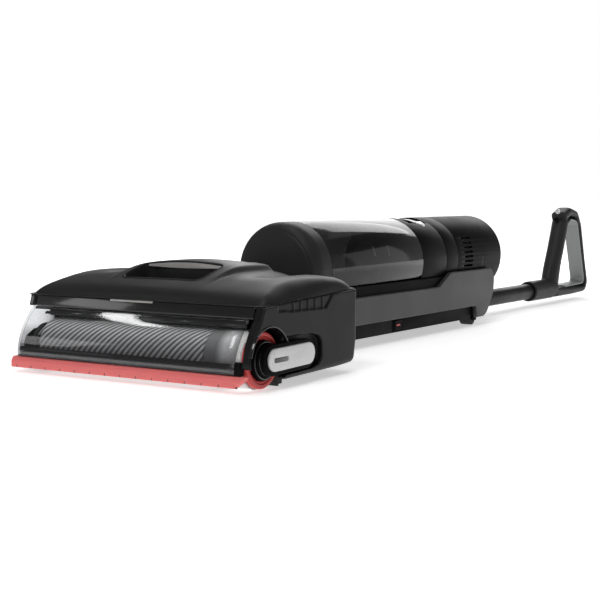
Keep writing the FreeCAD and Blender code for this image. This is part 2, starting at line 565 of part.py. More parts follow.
def motor_housing():
    shell = ring_y(BARREL_R, BARREL_R - WALL, TANK_END + 0.4, HOUSING_SEAM - 0.3, BARREL_Z)
    bulkhead = cyl_y(BARREL_R - 1, TANK_END + 6, TANK_END + 9, BARREL_Z).cut(
        cyl_y(20, TANK_END, TANK_END + 12, BARREL_Z))
    pad = box(-30, 30, 496, 545, 126, 136).common(cyl_y(BARREL_R - 1, 490, 560, BARREL_Z))
    groove = ring_y(BARREL_R + 2, BARREL_R - 0.7, 547.6, 548.6, BARREL_Z)
    scoop = box(-40, 40, 500, 541, 132.5, 150)
    seat = box(-20.4, 20.4, 519.6, 538.4, 129.4, 150)
    solid = cut(fuse([shell, bulkhead, pad]), [groove, scoop, seat])
    node("motor_housing", solid)
    latch = box(-20, 20, 520, 538, 131.9, 145).common(cyl_y(BARREL_R - 1.4, 510, 545, BARREL_Z))
    node("tank_latch", latch)
    end = cyl_y(BARREL_R, HOUSING_SEAM, HOUSING_END, BARREL_Z)
    end = rounded(end, 6, lambda c, e: abs(c.y - HOUSING_END) < 0.1)
    room = cyl_y(BARREL_R - WALL, HOUSING_SEAM - 1, HOUSING_END - 3, BARREL_Z)
    slots = []
    for side in (-1, 1):
        for k in range(VENT_COUNT):
            z = VENT_TOP - VENT_PITCH * k
            x0, x1 = sorted((side * 38, side * 60))
            slots.append(box(x0, x1, 598, 622, z - VENT_SLOT / 2, z + VENT_SLOT / 2))
    dish = cyl_y(38.2, HOUSING_END - 1.6, HOUSING_END + 1, BARREL_Z)
    node("exhaust_cover", cut(end, [room, dish] + slots))
    node("display_disc", cyl_y(38, HOUSING_END - 1.6, HOUSING_END - 0.2, BARREL_Z))


def suction_unit():
    motor = cyl_y(30, 548, 612, BARREL_Z)
    node("suction_motor", cut(motor, [cyl_y(3 + RUN, 547, 570, BARREL_Z)]))
    disc = cyl_y(36, 526, 529, BARREL_Z)
    blades = []
    for k in range(9):
        blade = box(8, 35, 528.5, 538, -0.8, 0.8)
        blade.rotate(V(0, 0, 0), V(0, 1, 0), 40 * k)
        blade.translate(V(0, 0, BARREL_Z))
        blades.append(blade)
    node("fan_wheel", fuse([disc, cyl_y(3, 520, 569, BARREL_Z)] + blades))
    node("exhaust_filter", ring_y(BARREL_R - WALL - 0.3, 16, 628, 644, BARREL_Z))
    node("control_board", box(-28, 28, 650, 700, BARREL_Z - 1, BARREL_Z + 0.8))


# ---------------------------------------------------------------- tube and handle
POST_LOW = V(0, 1000, 43)
POST_HIGH = V(0, 1046, 139)
GRIP_OPENING = [(1049, 23.5), (1127, 24.5), (1096, 122), (1082, 129), (1063, 126), (1041, 70), (1038, 48)]
GRIP_OPENING_R = [5, 8, 12, 6, 10, 30, 12]


def handle():
    outside = [(984, 8.6), (1138, 9), (1145, 22), (1108, 128), (1096, 139), (1056, 146), (1036, 138),
               (990, 50), (984, 40)]
    loop = slab(outside, -GRIP_HALF, GRIP_HALF, [0, 12, 10, 10, 12, 14, 12, 6, 0])
    loop = rounded(loop, 7.5, lambda c, e: abs(abs(c.x) - GRIP_HALF) < 0.01 and c.y > 986 and e.Length > 1)
    collar = cyl_y(15, COLLAR_FRONT, 1000, TUBE_Z)
    grip = fuse([loop, collar])
    tools = [slab(GRIP_OPENING, -30, 30, GRIP_OPENING_R),
             cyl_y(TUBE_SEAT_R, COLLAR_FRONT - 1, TUBE_END, TUBE_Z)]
    for spot, radius in ((button_spot(0.84), 4.3), (button_spot(0.97), 4.3)):
        tools.append(Part.makeCylinder(radius, 20, spot + press_way() * 5.5, press_way() * -1))
    node("grip_shell", cut(grip, tools))
    inner = [(1051.5, 26), (1124.5, 27), (1094, 120.5), (1081.5, 126.6), (1065, 124), (1043.6, 69.5),
             (1040.6, 49)]
    band = slab(GRIP_OPENING, -12.4, 12.4, GRIP_OPENING_R).cut(
        slab(inner, -30, 30, [3, 6, 10, 4, 8, 28, 10]))
    node("grip_liner", band)


def press_way():
    """Direction that a grip button is pressed, square to the post."""
    along = (POST_HIGH - POST_LOW).normalize()
    return V(0, along.z, -along.y)


def button_spot(part_way):
    """Point on the front of the post, a share of the way up."""
    return POST_LOW + (POST_HIGH - POST_LOW) * part_way - press_way() * 11.0


def buttons():
    for name, part_way, proud in (("power_button", 0.84, 0.5), ("mode_button", 0.97, 0.9)):
        start = button_spot(part_way) - press_way() * proud
        shape = Part.makeCylinder(4.0, 3.6 + proud, start, press_way())
        node(name, shape)


def main_tube():
    outer = cyl_y(TUBE_R, SOCKET_END, COLLAR_FRONT, TUBE_Z)
    ends = cyl_y(TUBE_SEAT_R, TUBE_FRONT, TUBE_END, TUBE_Z)
    node("main_tube", cut(fuse([outer, ends]), [cyl_y(TUBE_R - 1.6, TUBE_FRONT - 1, TUBE_END + 1, TUBE_Z)]))


def contacts():
    node("charging_contacts", *[cyl_z(3, 8.2, 9.0, x, 100) for x in (-10, 10)])


def build():
    head_chassis()
    floor_plate_screws()
    top_cover()
    hump_lens()
    front_lip()
    side_casings()
    squeegee()
    head_drive()
    head_water()
    rear_wheels()
    brush_cover()
    roller()
    roller_carrier()
    neck()
    spine()
    side_panels()
    clean_tank()
    battery()
    support_rollers()
    dirty_tank()
    motor_housing()
    suction_unit()
    handle()
    buttons()
    main_tube()
    contacts()


def write():
    os.makedirs("parts", exist_ok=True)
    for old in os.listdir("parts"):
        os.remove(os.path.join("parts", old))
    for name, shapes in NODES.items():
        solids = []
        for shape in shapes:
            solids += shape.Solids
        whole = solids[0] if len(solids) == 1 else Part.makeCompound(solids)
        whole.translate(V(0, -LENGTH / 2, 0))
        whole.exportStep(os.path.join("parts", name + ".step"))


build()
write()
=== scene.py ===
"""Cordless lay-flat floor washer: its looks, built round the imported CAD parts.

Blender lengths are metres. at() takes the machine's own millimetres instead: X to its right,
Y back from the front of the bumper strip, Z up from the floor.
"""
import json
import math
import random

import bmesh
import bpy
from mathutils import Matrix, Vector

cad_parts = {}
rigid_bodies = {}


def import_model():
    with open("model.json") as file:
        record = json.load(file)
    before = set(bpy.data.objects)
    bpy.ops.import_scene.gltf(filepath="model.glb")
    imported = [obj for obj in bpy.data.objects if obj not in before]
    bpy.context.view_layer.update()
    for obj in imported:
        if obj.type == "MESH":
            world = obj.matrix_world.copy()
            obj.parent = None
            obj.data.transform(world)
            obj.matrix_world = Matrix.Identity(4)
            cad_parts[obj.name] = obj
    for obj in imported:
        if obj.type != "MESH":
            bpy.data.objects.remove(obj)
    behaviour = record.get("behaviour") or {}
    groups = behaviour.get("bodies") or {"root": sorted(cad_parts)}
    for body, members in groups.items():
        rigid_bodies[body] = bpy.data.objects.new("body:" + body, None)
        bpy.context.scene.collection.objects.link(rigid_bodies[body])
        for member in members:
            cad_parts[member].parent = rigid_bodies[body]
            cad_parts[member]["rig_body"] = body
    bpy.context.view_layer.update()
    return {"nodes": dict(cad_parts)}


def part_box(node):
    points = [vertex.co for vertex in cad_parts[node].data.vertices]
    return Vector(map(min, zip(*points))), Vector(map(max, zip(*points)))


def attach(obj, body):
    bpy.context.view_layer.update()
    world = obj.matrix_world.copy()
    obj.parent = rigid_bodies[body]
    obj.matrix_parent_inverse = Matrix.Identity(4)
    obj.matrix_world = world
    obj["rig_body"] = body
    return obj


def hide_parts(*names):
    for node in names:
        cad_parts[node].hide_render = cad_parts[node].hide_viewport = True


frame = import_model()

MM = 0.001
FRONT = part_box("bumper_strip")[0].y
SEED = 7
TURN = 2 * math.pi
SLOT = {name: part.material_slots[0].material.name for name, part in frame["nodes"].items()}


def at(x, y, z):
    """A point in machine millimetres as metres in the frame."""
    return Vector((x * MM, FRONT + y * MM, z * MM))


def corners(node):
    """Lowest and highest corner of a CAD node, in machine millimetres."""
    return [Vector((p.x / MM, (p.y - FRONT) / MM, p.z / MM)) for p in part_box(node)]


# ---- places, from the CAD parts
LID_LOW, LID_HIGH = corners("top_cover")
WINDOW_LOW, WINDOW_HIGH = corners("brush_window")
LIP_LOW, LIP_HIGH = corners("front_lip")
PILE_LOW, PILE_HIGH = corners("roller_pile")
RING_LOW, RING_HIGH = corners("roller_end_ring")
TANK_LOW, TANK_HIGH = corners("tank_tube")
CAP_LOW = corners("tank_front_cap")[0]
LENS_LOW, LENS_HIGH = corners("hump_lens")
CASING_HIGH = corners("side_casing_right")[1]
ROLLER_Y = (PILE_LOW.y + PILE_HIGH.y) / 2
ROLLER_Z = (PILE_LOW.z + PILE_HIGH.z) / 2
ROLLER_R = (PILE_HIGH.z - PILE_LOW.z) / 2
BARREL_R = (TANK_HIGH.x - TANK_LOW.x) / 2
BARREL_Z = (TANK_LOW.z + TANK_HIGH.z) / 2


# ---- materials
def node_maker(tree):
    """Function that adds a node of a kind and sets its input sockets by name or number."""
    def make(kind, **inputs):
        made = tree.nodes.new("ShaderNode" + kind)
        for key, value in inputs.items():
            numbered = key[0] == "i" and key[1:].isdigit()
            socket = made.inputs[int(key[1:]) if numbered else key.replace("_", " ")]
            if isinstance(value, bpy.types.NodeSocket):
                tree.links.new(value, socket)
            else:
                socket.default_value = value
        return made
    return make


def blend_colours(tree, make, share, first, second):
    """Mix of two colours, each a socket or three numbers, by the share in a socket."""
    mix = make("Mix")
    mix.data_type = "RGBA"
    tree.links.new(share, mix.inputs[0])
    for number, colour in ((6, first), (7, second)):
        if isinstance(colour, bpy.types.NodeSocket):
            tree.links.new(colour, mix.inputs[number])
        else:
            mix.inputs[number].default_value = (*colour, 1)
    return mix.outputs[2]


def maths(make, operation, *values):
    """Result of a maths node on sockets or numbers."""
    node = make("Math", **{f"i{number}": value for number, value in enumerate(values)})
    node.operation = operation
    return node.outputs[0]


def scaled(colour, factor):
    """A colour made lighter or darker, held below white."""
    return tuple(min(1.0, c * factor) for c in colour)


def highlight_tone(colour):
    """Tone of a sharp edge lightened as a painted highlight."""
    return scaled(tuple(c + 0.02 for c in colour), 1.8)


def finish(name, colour, rough, grain=0.5, relief=0.02, blotch=35.0, tint=0.1, spread=0.08,
           stretch=(1, 1, 1), wear=0.25, **fixed):
    """Moulded or painted surface: grain in the bump, broad change of tone and gloss, and sharp
    edges lightened as a painted highlight.

    grain and blotch are the sizes of the two patterns and relief the grain's height, in mm.
    """
    material = bpy.data.materials.new(name)
    material.use_nodes = True
    tree = material.node_tree
    make = node_maker(tree)
    shader = tree.nodes["Principled BSDF"]
    place = make("TexCoord").outputs["Object"]
    lie = make("Mapping", Vector=place, Scale=stretch).outputs[0]
    fine = make("TexNoise", Vector=lie, Scale=1 / (grain * MM), Detail=3.0, Roughness=0.6)
    broad = make("TexNoise", Vector=lie, Scale=1 / (blotch * MM), Detail=4.0, Roughness=0.55)
    tone = blend_colours(tree, make, broad.outputs[0], scaled(colour, 1 - tint),
                         scaled(colour, 1 + tint))
    # Painted highlight: edges picked out by pointiness are lightened.
    edges = make("NewGeometry").outputs["Pointiness"]
    edge_highlight_mask = make("MapRange", Value=edges, From_Min=0.53, From_Max=0.62, To_Max=wear).outputs[0]
    base = blend_colours(tree, make, edge_highlight_mask, tone, highlight_tone(colour))
    tree.links.new(base, shader.inputs["Base Color"])
    patchy = maths(make, "MULTIPLY", fine.outputs[0], broad.outputs[0])
    gloss = make("MapRange", Value=patchy, From_Min=0.1, From_Max=0.45,
                 To_Min=max(0.02, rough - spread), To_Max=rough + spread)
    tree.links.new(gloss.outputs[0], shader.inputs["Roughness"])
    bump = make("Bump", Height=fine.outputs[0], Strength=1.0, Distance=relief * MM)
    tree.links.new(bump.outputs[0], shader.inputs["Normal"])
    for socket, value in fixed.items():
        shader.inputs[socket.replace("_", " ")].default_value = value
    return material


def see_through(name, tint, rough, haze, painted_shade_tint=None, foot=(0.0, 0.0)):
    """Clear plastic: what is behind it, tinted, under a mirror skin that is stronger at a slant.

    The second tint, given below a height, is painted shade and painted reflection that darkens what
    shows through the lower part; it is blended in over the foot's two heights in millimetres.
    """
    material = bpy.data.materials.new(name)
    material.use_nodes = True
    tree = material.node_tree
    make = node_maker(tree)
    shader = tree.nodes["Principled BSDF"]
    place = make("TexCoord").outputs["Object"]
    swirl = make("TexNoise", Vector=place, Scale=1 / (18 * MM), Detail=3.0)
    scratch = make("TexNoise", Vector=place, Scale=1 / (0.8 * MM), Detail=2.0)
    tone = blend_colours(tree, make, swirl.outputs[0], (0.8, 0.8, 0.8), (0.95, 0.95, 0.95))
    tree.links.new(tone, shader.inputs["Base Color"])
    shader.inputs["Metallic"].default_value = 1.0
    gloss = make("MapRange", Value=scratch.outputs[0], To_Min=rough * 0.7, To_Max=rough * 1.5)
    tree.links.new(gloss.outputs[0], shader.inputs["Roughness"])
    bump = make("Bump", Height=swirl.outputs[0], Strength=0.6, Distance=0.05 * MM)
    tree.links.new(bump.outputs[0], shader.inputs["Normal"])
    slant = make("LayerWeight", Blend=0.5)
    steep = maths(make, "POWER", slant.outputs["Facing"], 5.0)
    # Painted shade and reflection: the colour seen through darkens below the foot's heights.
    height = make("SeparateXYZ", Vector=place)
    low = make("MapRange", Value=height.outputs[2], From_Min=foot[0] * MM,
               From_Max=(foot[1] + 0.01) * MM, To_Min=1.0, To_Max=0.0)
    body = blend_colours(tree, make, low.outputs[0], tint, painted_shade_tint or tint)
    outline = blend_colours(tree, make, steep, body, scaled(tint, 0.35))
    clear = make("BsdfTransparent", Color=outline)
    share = make("MapRange", Value=steep, To_Min=haze, To_Max=0.9)
    mix = make("MixShader", Fac=share.outputs[0])
    tree.links.new(clear.outputs[0], mix.inputs[1])
    tree.links.new(shader.outputs[0], mix.inputs[2])
    tree.links.new(mix.outputs[0], tree.nodes["Material Output"].inputs["Surface"])
    return material


# Spiral bands of the pile: pitch along it, starts round it, and the plain end's length, mm.
PILE_PITCH = 6.4
PILE_STARTS = 22
PILE_PLAIN = 42
MICROFIBRE = dict(grain=0.9, relief=0.5, blotch=9.0, wear=0.0, Sheen_Weight=0.3,
                  Sheen_Roughness=0.6)
MOULDED = dict(grain=0.35, relief=0.012)


def banded(name, light, dark, pitch, turns, plain_from):
    """Pile with dark spiral bands, made darker for a stretch past plain_from (machine X), where
    they stop.
    """
    material = finish(name, light, 0.9, tint=0.25, **MICROFIBRE)
    tree = material.node_tree
    make = node_maker(tree)
    shader = tree.nodes["Principled BSDF"]
    base = shader.inputs["Base Color"].links[0].from_socket
    place = make("SeparateXYZ", Vector=make("TexCoord").outputs["Object"])

    def change(start, end, before, after):
        """Value that goes from before to after between two places past plain_from."""
        return make("MapRange", Value=place.outputs[0], From_Min=(plain_from + start) * MM,
                    From_Max=(plain_from + end) * MM, To_Min=before, To_Max=after).outputs[0]

    off_y = maths(make, "SUBTRACT", place.outputs[1], FRONT + ROLLER_Y * MM)
    off_z = maths(make, "SUBTRACT", place.outputs[2], ROLLER_Z * MM)
    angle = maths(make, "ARCTAN2", off_z, off_y)
    along = maths(make, "MULTIPLY", place.outputs[0], TURN / (pitch * MM))
    wave = maths(make, "SINE", maths(make, "MULTIPLY_ADD", angle, float(turns), along))
    share = make("MapRange", Value=wave, From_Min=-0.5, From_Max=0.6).outputs[0]
    bands = maths(make, "MULTIPLY", share, change(0, 3, 1.0, 0.0))
    end_darkening = maths(make, "MULTIPLY", change(0, 2, 0.0, 1.0), change(14, 22, 0.8, 0.0))
    both = maths(make, "ADD", bands, end_darkening)
    tree.links.new(blend_colours(tree, make, both, base, dark), shader.inputs["Base Color"])
    return material


LOOKS = {
    "charcoal_plastic": dict(MOULDED, colour=(0.007, 0.007, 0.0075), rough=0.4,
                             Specular_IOR_Level=0.16),
    # Lighter copy of the charcoal plastic for the lid: painted light standing in for the light on
    # its top.
    "lid_painted_light": dict(MOULDED, colour=(0.022, 0.022, 0.023), rough=0.36, Specular_IOR_Level=0.08),
    # Lighter copy of the charcoal plastic for the tank cap and grip: painted reflection and painted
    # highlight.
    "charcoal_painted_highlight": dict(MOULDED, colour=(0.028, 0.028, 0.029), rough=0.42, Specular_IOR_Level=0.12),
    "dark_shell": dict(MOULDED, colour=(0.003, 0.003, 0.0032), rough=0.42, Specular_IOR_Level=0.07),
    "black_plastic": dict(colour=(0.004, 0.004, 0.0042), rough=0.44, Specular_IOR_Level=0.03),
    "gloss_black": dict(colour=(0.01, 0.01, 0.011), rough=0.12, grain=6.0, relief=0.01,
                        spread=0.04, Coat_Weight=0.4, Coat_Roughness=0.06),
    "grey_panel": dict(colour=(0.042, 0.042, 0.043), rough=0.4, grain=0.3, relief=0.01,
                       tint=0.05, Specular_IOR_Level=0.3),
    "lens": dict(colour=(0.3, 0.29, 0.28), rough=0.28, grain=0.8, relief=0.01, Coat_Weight=0.5),
    "red_rubber": dict(colour=(0.78, 0.17, 0.165), rough=0.5, grain=0.4, tint=0.06,
                       Subsurface_Weight=0.15, Subsurface_Scale=0.002),
    "red_plastic": dict(colour=(0.6, 0.055, 0.05), rough=0.35, relief=0.015, tint=0.08),
    "microfibre": dict(MICROFIBRE, colour=(0.4, 0.4, 0.395), rough=0.9, tint=0.3),
    "silver": dict(colour=(0.62, 0.62, 0.62), rough=0.32, grain=0.4, relief=0.006, tint=0.03,
                   Metallic=0.35),
    "light_alloy": dict(colour=(0.38, 0.38, 0.38), rough=0.34, grain=0.6, relief=0.01,
                        stretch=(0.04, 1, 1), Metallic=0.8),
    "black_rubber": dict(colour=(0.018, 0.018, 0.018), rough=0.75, grain=0.7, relief=0.05),
    "steel": dict(colour=(0.5, 0.5, 0.51), rough=0.28, relief=0.008, stretch=(1, 0.1, 1),
                  Metallic=1.0),
    "brass": dict(colour=(0.7, 0.5, 0.22), rough=0.3, grain=0.6, relief=0.01, Metallic=1.0),
    "grip_grey": dict(colour=(0.26, 0.27, 0.27), rough=0.5, relief=0.03, tint=0.05),
    "circuit": dict(colour=(0.02, 0.14, 0.06), rough=0.35, grain=1.2, relief=0.05, blotch=6.0,
                    tint=0.3),
    "foam": dict(colour=(0.07, 0.07, 0.07), rough=0.95, grain=1.4, relief=0.6, tint=0.3),
    "cell_wrap": dict(colour=(0.05, 0.17, 0.36), rough=0.3, grain=0.8, relief=0.01,
                      Coat_Weight=0.3),
    "white_plastic": dict(colour=(0.62, 0.62, 0.6), rough=0.4, tint=0.04),
}
FINISH = {name: finish(name, **look) for name, look in LOOKS.items()}
# The clear cover's darker second tint low down is painted shade and painted reflection over the
# roller's lower half.
FINISH["clear_cover"] = see_through("clear_cover", (0.96, 0.965, 0.97), 0.04, 0.05,
                                    (0.62, 0.62, 0.63), (24, 46))
FINISH["smoked_tank"] = see_through("smoked_tank", (0.3, 0.3, 0.305), 0.07, 0.045)
FINISH["banded_pile"] = banded("banded_pile", (0.78, 0.78, 0.77), (0.13, 0.13, 0.13), PILE_PITCH,
                               PILE_STARTS, PILE_HIGH.x - PILE_PLAIN)


def dress_cad_parts():
    """Gives every CAD part the finish named by its own material slot."""
    for name, part in frame["nodes"].items():
        for place in part.material_slots:
            place.material = FINISH[SLOT[name]]


# ---- mesh tools
# Edges sharper than SHARP keep a crease in the shading, sharper than ROUNDED are bevelled,
# and flatter than FLAT are removed.
SHARP = math.radians(33)
ROUNDED = math.radians(28)
FLAT = math.radians(0.6)
SHELL_WALL = 1.8


def add_piece(name, shape, look, body, stands_for=(), turned=True):
    """Makes an object from a bmesh, gives it its finish and lets it ride on its body."""
    if turned:
        bmesh.ops.recalc_face_normals(shape, faces=shape.faces)
    mesh = bpy.data.meshes.new(name)
    shape.to_mesh(mesh)
    shape.free()
    mesh.shade_smooth()
    mesh.set_sharp_from_angle(angle=SHARP)
    piece = bpy.data.objects.new(name, mesh)
    bpy.context.scene.collection.objects.link(piece)
    mesh.materials.append(FINISH[look])
    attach(piece, body)
    if stands_for:
        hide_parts(*stands_for)
    return piece


def body_of(node):
    """Name of the moving body a CAD part belongs to."""
    return frame["nodes"][node]["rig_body"]


def cad_shape(node):
    """A CAD part as a bmesh, its doubled points joined."""
    shape = bmesh.new()
    shape.from_mesh(frame["nodes"][node].data)
    bmesh.ops.remove_doubles(shape, verts=shape.verts, dist=0.002 * MM)
    return shape


def softened(node, radius, look=None):
    """A CAD part with its sharp edges rounded over by a radius in millimetres."""
    shape = cad_shape(node)
    bmesh.ops.dissolve_limit(shape, angle_limit=FLAT, verts=shape.verts, edges=shape.edges)
    sharp = [e for e in shape.edges if len(e.link_faces) == 2 and e.calc_face_angle(0) > ROUNDED]
    bmesh.ops.bevel(shape, geom=sharp, offset=radius * MM, offset_type="OFFSET", segments=3,
                    profile=0.5, affect="EDGES", clamp_overlap=False)
    wide = [f for f in shape.faces if len(f.verts) > 4]
    bmesh.ops.triangulate(shape, faces=wide, ngon_method="EAR_CLIP")
    add_piece(node + "_finished", shape, look or SLOT[node], body_of(node), (node,))


def melted(node, cell, rounds=4):
    """A CAD part whose edges are rounded by melting it into a fine, even skin."""
    piece = add_piece(node + "_finished", cad_shape(node), SLOT[node], body_of(node), (node,))
    melt(piece, cell, rounds)


def melt(piece, cell, rounds):
    """Turns a piece into one skin of even cells, a size in millimetres, then smooths it."""
    skinned = piece.modifiers.new("melt", "REMESH")
    skinned.mode = "VOXEL"
    skinned.voxel_size = cell * MM
    skinned.use_smooth_shade = True
    calm = piece.modifiers.new("calm", "SMOOTH")
    calm.factor = 0.5
    calm.iterations = rounds


def thicken(piece, wall):
    """Gives an open skin a wall, in millimetres, on its inner side."""
    made = piece.modifiers.new("wall", "SOLIDIFY")
    made.thickness = wall * MM
    made.offset = -1


def skin(rings, closed_ring=True, looped=False, ends=True):
    """Skin through rings of points that all have the same number of points."""
    shape = bmesh.new()
    rows = [[shape.verts.new(p) for p in ring] for ring in rings]
    count = len(rows[0])
    pairs = list(zip(rows, rows[1:]))
    if looped:
        pairs.append((rows[-1], rows[0]))
    for near, far in pairs:
        for i in range(count if closed_ring else count - 1):
            j = (i + 1) % count
            shape.faces.new((near[i], near[j], far[j], far[i]))
    if ends and closed_ring and not looped:
        shape.faces.new(list(reversed(rows[0])))
        shape.faces.new(rows[-1])
    return shape


def circle(steps):
    """Angles of evenly spaced points round a turn."""
    return [TURN * k / steps for k in range(steps)]


def round_off(points, radii, closed=True, steps=6):
    """An outline with its corners rounded, as (u, v) pairs."""
    made = []
    count = len(points)
    for i, point in enumerate(points):
        radius = radii[i] if isinstance(radii, (list, tuple)) else radii
        if radius <= 0 or (not closed and i in (0, count - 1)):
            made.append(tuple(point))
            continue
        here = Vector(point)
        back = Vector(points[i - 1]) - here
        ahead = Vector(points[(i + 1) % count]) - here
        half = back.angle(ahead) / 2
        reach = min(radius / math.tan(half), 0.48 * back.length, 0.48 * ahead.length)
        size = reach * math.tan(half)
        inward = (back.normalized() + ahead.normalized()).normalized()
        centre = here + inward * (size / math.sin(half))
        first = here + back.normalized() * reach - centre
        last = here + ahead.normalized() * reach - centre
        start = math.atan2(first.y, first.x)
        sweep = (math.atan2(last.y, last.x) - start + math.pi) % TURN - math.pi
        for k in range(steps + 1):
            angle = start + sweep * k / steps
            made.append((centre.x + size * math.cos(angle), centre.y + size * math.sin(angle)))
    return made


def rounded_rect(u0, u1, v0, v1, radius, steps=3):
    """Rectangular outline with rounded corners, as (u, v) pairs."""
    return round_off([(u0, v0), (u1, v0), (u1, v1), (u0, v1)], radius, steps=steps)


def lathe_y(profile, z, steps=144, x=0.0):
    """Closed profile of (y, radius) turned round an axis along Y."""
    rings = []
    for angle in circle(steps):
        rings.append([at(x + r * math.cos(angle), y, z + r * math.sin(angle)) for y, r in profile])
    return skin(rings, looped=True)


def lathe_x(profile, y=ROLLER_Y, z=ROLLER_Z, steps=144, start=0.0, sweep=TURN):
    """Closed profile of (x, radius) turned round an axis along X, all the way or by a sweep."""
    full = abs(sweep - TURN) < 1e-6
    rings = []
    for k in range(steps if full else steps + 1):
        angle = start + sweep * k / steps
        rings.append([at(x, y + r * math.cos(angle), z + r * math.sin(angle)) for x, r in profile])
    return skin(rings, looped=full)


def disc_y(profile, z, steps=144, x=0.0):
    """Profile of (y, radius) that starts and ends on the axis, turned round an axis along Y."""
    shape = lathe_y(profile, z, steps, x)
    bmesh.ops.remove_doubles(shape, verts=shape.verts, dist=0.001 * MM)
    return shape


def bar(section, x0, x1, edge=0.5):
    """A (y, z) section drawn along X, its two ends eased by a small bevel."""
    middle = Vector([sum(values) / len(section) for values in zip(*section)])
    rings = []
    for x, inset in ((x0, edge), (x0 + edge * 0.3, edge * 0.3), (x0 + edge, 0),
                     (x1 - edge, 0), (x1 - edge * 0.3, edge * 0.3), (x1, edge)):
        ring = []
        for y, z in section:
            away = Vector((y, z)) - middle
            pull = away * (1 - inset / max(away.length, inset + 0.01))
            ring.append(at(x, middle.x + pull.x, middle.y + pull.y))
        rings.append(ring)
    return skin(rings)


def block(x0, x1, y0, y1, z0, z1, radius=0.8):
    """A block whose edges are all rounded."""
    shape = bmesh.new()
    bmesh.ops.create_cube(shape, size=1.0)
    size = Vector((x1 - x0, y1 - y0, z1 - z0)) * MM
    centre = at((x0 + x1) / 2, (y0 + y1) / 2, (z0 + z1) / 2)
    for vertex in shape.verts:
        vertex.co = Vector(c * s for c, s in zip(vertex.co, size)) + centre
    bmesh.ops.bevel(shape, geom=shape.edges, offset=radius * MM, segments=3, profile=0.5,
                    affect="EDGES")
    return shape


def join(shapes):
    """Several bmeshes as one."""
    whole = bmesh.new()
    for shape in shapes:
        mesh = bpy.data.meshes.new("part_of_piece")
        bmesh.ops.recalc_face_normals(shape, faces=shape.faces)
        shape.to_mesh(mesh)
        shape.free()
        whole.from_mesh(mesh)
        bpy.data.meshes.remove(mesh)
    return whole


def ease(low, high, value):
    """0 below low, 1 above high, and a smooth curve between."""
    t = max(0.0, min(1.0, (value - low) / (high - low)))
    return t * t * (3 - 2 * t)


def through(points, value):
    """Smooth curve through (place, height) points, read at a place."""
    last = len(points) - 1
    i = 0
    while i < last - 1 and value > points[i + 1][0]:
        i += 1
    (x0, y0), (x1, y1) = points[i], points[i + 1]

    def slope(k):
        a, b = points[max(k - 1, 0)], points[min(k + 1, last)]
        return (b[1] - a[1]) / (b[0] - a[0])

    width = x1 - x0
    t = max(0.0, min(1.0, (value - x0) / width))
    return ((2 * t ** 3 - 3 * t ** 2 + 1) * y0 + (t ** 3 - 2 * t ** 2 + t) * width * slope(i)
            + (3 * t ** 2 - 2 * t ** 3) * y1 + (t ** 3 - t ** 2) * width * slope(i + 1))


def stations(stops):
    """Places along a line: each stop gives (start, end, step), and the ends are kept."""
    made = []
    for start, end, step in stops:
        count = max(1, round((end - start) / step))
        made += [start + (end - start) * k / count for k in range(count)]
    return made + [stops[-1][1]]


# ---- floor head: lid
LID_HALF = LID_HIGH.x
LID_FRONT = LID_LOW.y
LID_REAR = LID_HIGH.y
# Middle line of the lid as (y, z), then its roundings, the two raised rails, the sag and dent
# of its sides, the opening in the hump and the notch at the back.
LID_LINE = [(26, 73.0), (29, 77.0), (34, 81.2), (42, 85.2), (54, 89.0), (72, 93.2), (96, 96.2),
            (130, 96.8), (156, 95.4), (172, 91.6), (180, 87.0), (186, 79.6)]
FRONT_ROUND = 9.0
SIDE_ROUND = 19.0
REAR_ROUND = 13.0
RAIL_OUT = 60.0
RAIL_DROP = 0.28
RAIL_RISE = 8.6
RAIL_EASE = 4.0
SAG = 4.0
DENT = 4.6
DENT_X = 84
DENT_WIDE = 15
RIM_WIDE = 2.4
RIM_HIGH = 0.7
SEAM_START = 72.6
SEAM_SLOPE = 0.0449
LID_INNER = 70.0
RECESS_HALF = 46.0
RECESS_MIDDLE = 78.0
RECESS_DEEP = 21.0
RECESS_FLOOR = 83.0
NOTCH_HALF = 44.0
NOTCH_FRONT = 138.0


def seam(y):
    """Height of the joint between the lid and the side casings."""
    return SEAM_START + (y - LID_FRONT) * SEAM_SLOPE


def lid_half(y):
    """Half width of the lid at a place along it, with its corners rounded in plan."""
    half = LID_HALF
    for edge, radius in ((y - LID_FRONT, 6.0), (LID_REAR - y, 8.0)):
        if edge < radius:
            half -= radius - math.sqrt(max(0.0, radius ** 2 - (radius - edge) ** 2))
    return half


def recess_distance(x, y):
    """Distance outside the rounded opening in the hump, less than 0 inside it."""
    corner = 9.0
    dx = abs(x) - (RECESS_HALF - corner)
    dy = abs(y - RECESS_MIDDLE) - (RECESS_DEEP - corner)
    outside = math.hypot(max(dx, 0), max(dy, 0))
    return outside + min(max(dx, dy), 0) - corner


def lid_height(x, y):
    """Height of the lid: its arched line, a dent each side, the raised rails and the opening."""
    across = abs(x)
    z = through(LID_LINE, y) - SAG * (across / 120) ** 2.5
    dent = DENT * math.exp(-((across - DENT_X) / DENT_WIDE) ** 2)
    z -= dent * ease(70, 128, y) * (1 - ease(168, 186, y))
    gap = lid_half(y) - across
    side_round = FRONT_ROUND + (SIDE_ROUND - FRONT_ROUND) * ease(30, 75, y)
    side_round += (REAR_ROUND - SIDE_ROUND) * ease(90, 140, y)
    if gap < side_round:
        z -= side_round - math.sqrt(max(0.0, side_round ** 2 - (side_round - gap) ** 2))
    nose = ease(150, 165, y)
    rise = RAIL_RISE * (1 - RAIL_DROP * (across / 50) ** 2)
    rail = RAIL_OUT - 5 * nose
    flank = 1 - ease(rail - RAIL_EASE, rail + RAIL_EASE, across)
    z += rise * ease(40, 112, y) * flank * (1 - nose)
    edge = recess_distance(x, y)
    if 0 <= edge < RIM_WIDE:
        z += RIM_HIGH * math.sin(math.pi * edge / RIM_WIDE)
    if edge < 0:
        z += (RECESS_FLOOR - z) * ease(0, 1.6, -edge)
    return max(z, seam(y) + 0.3)


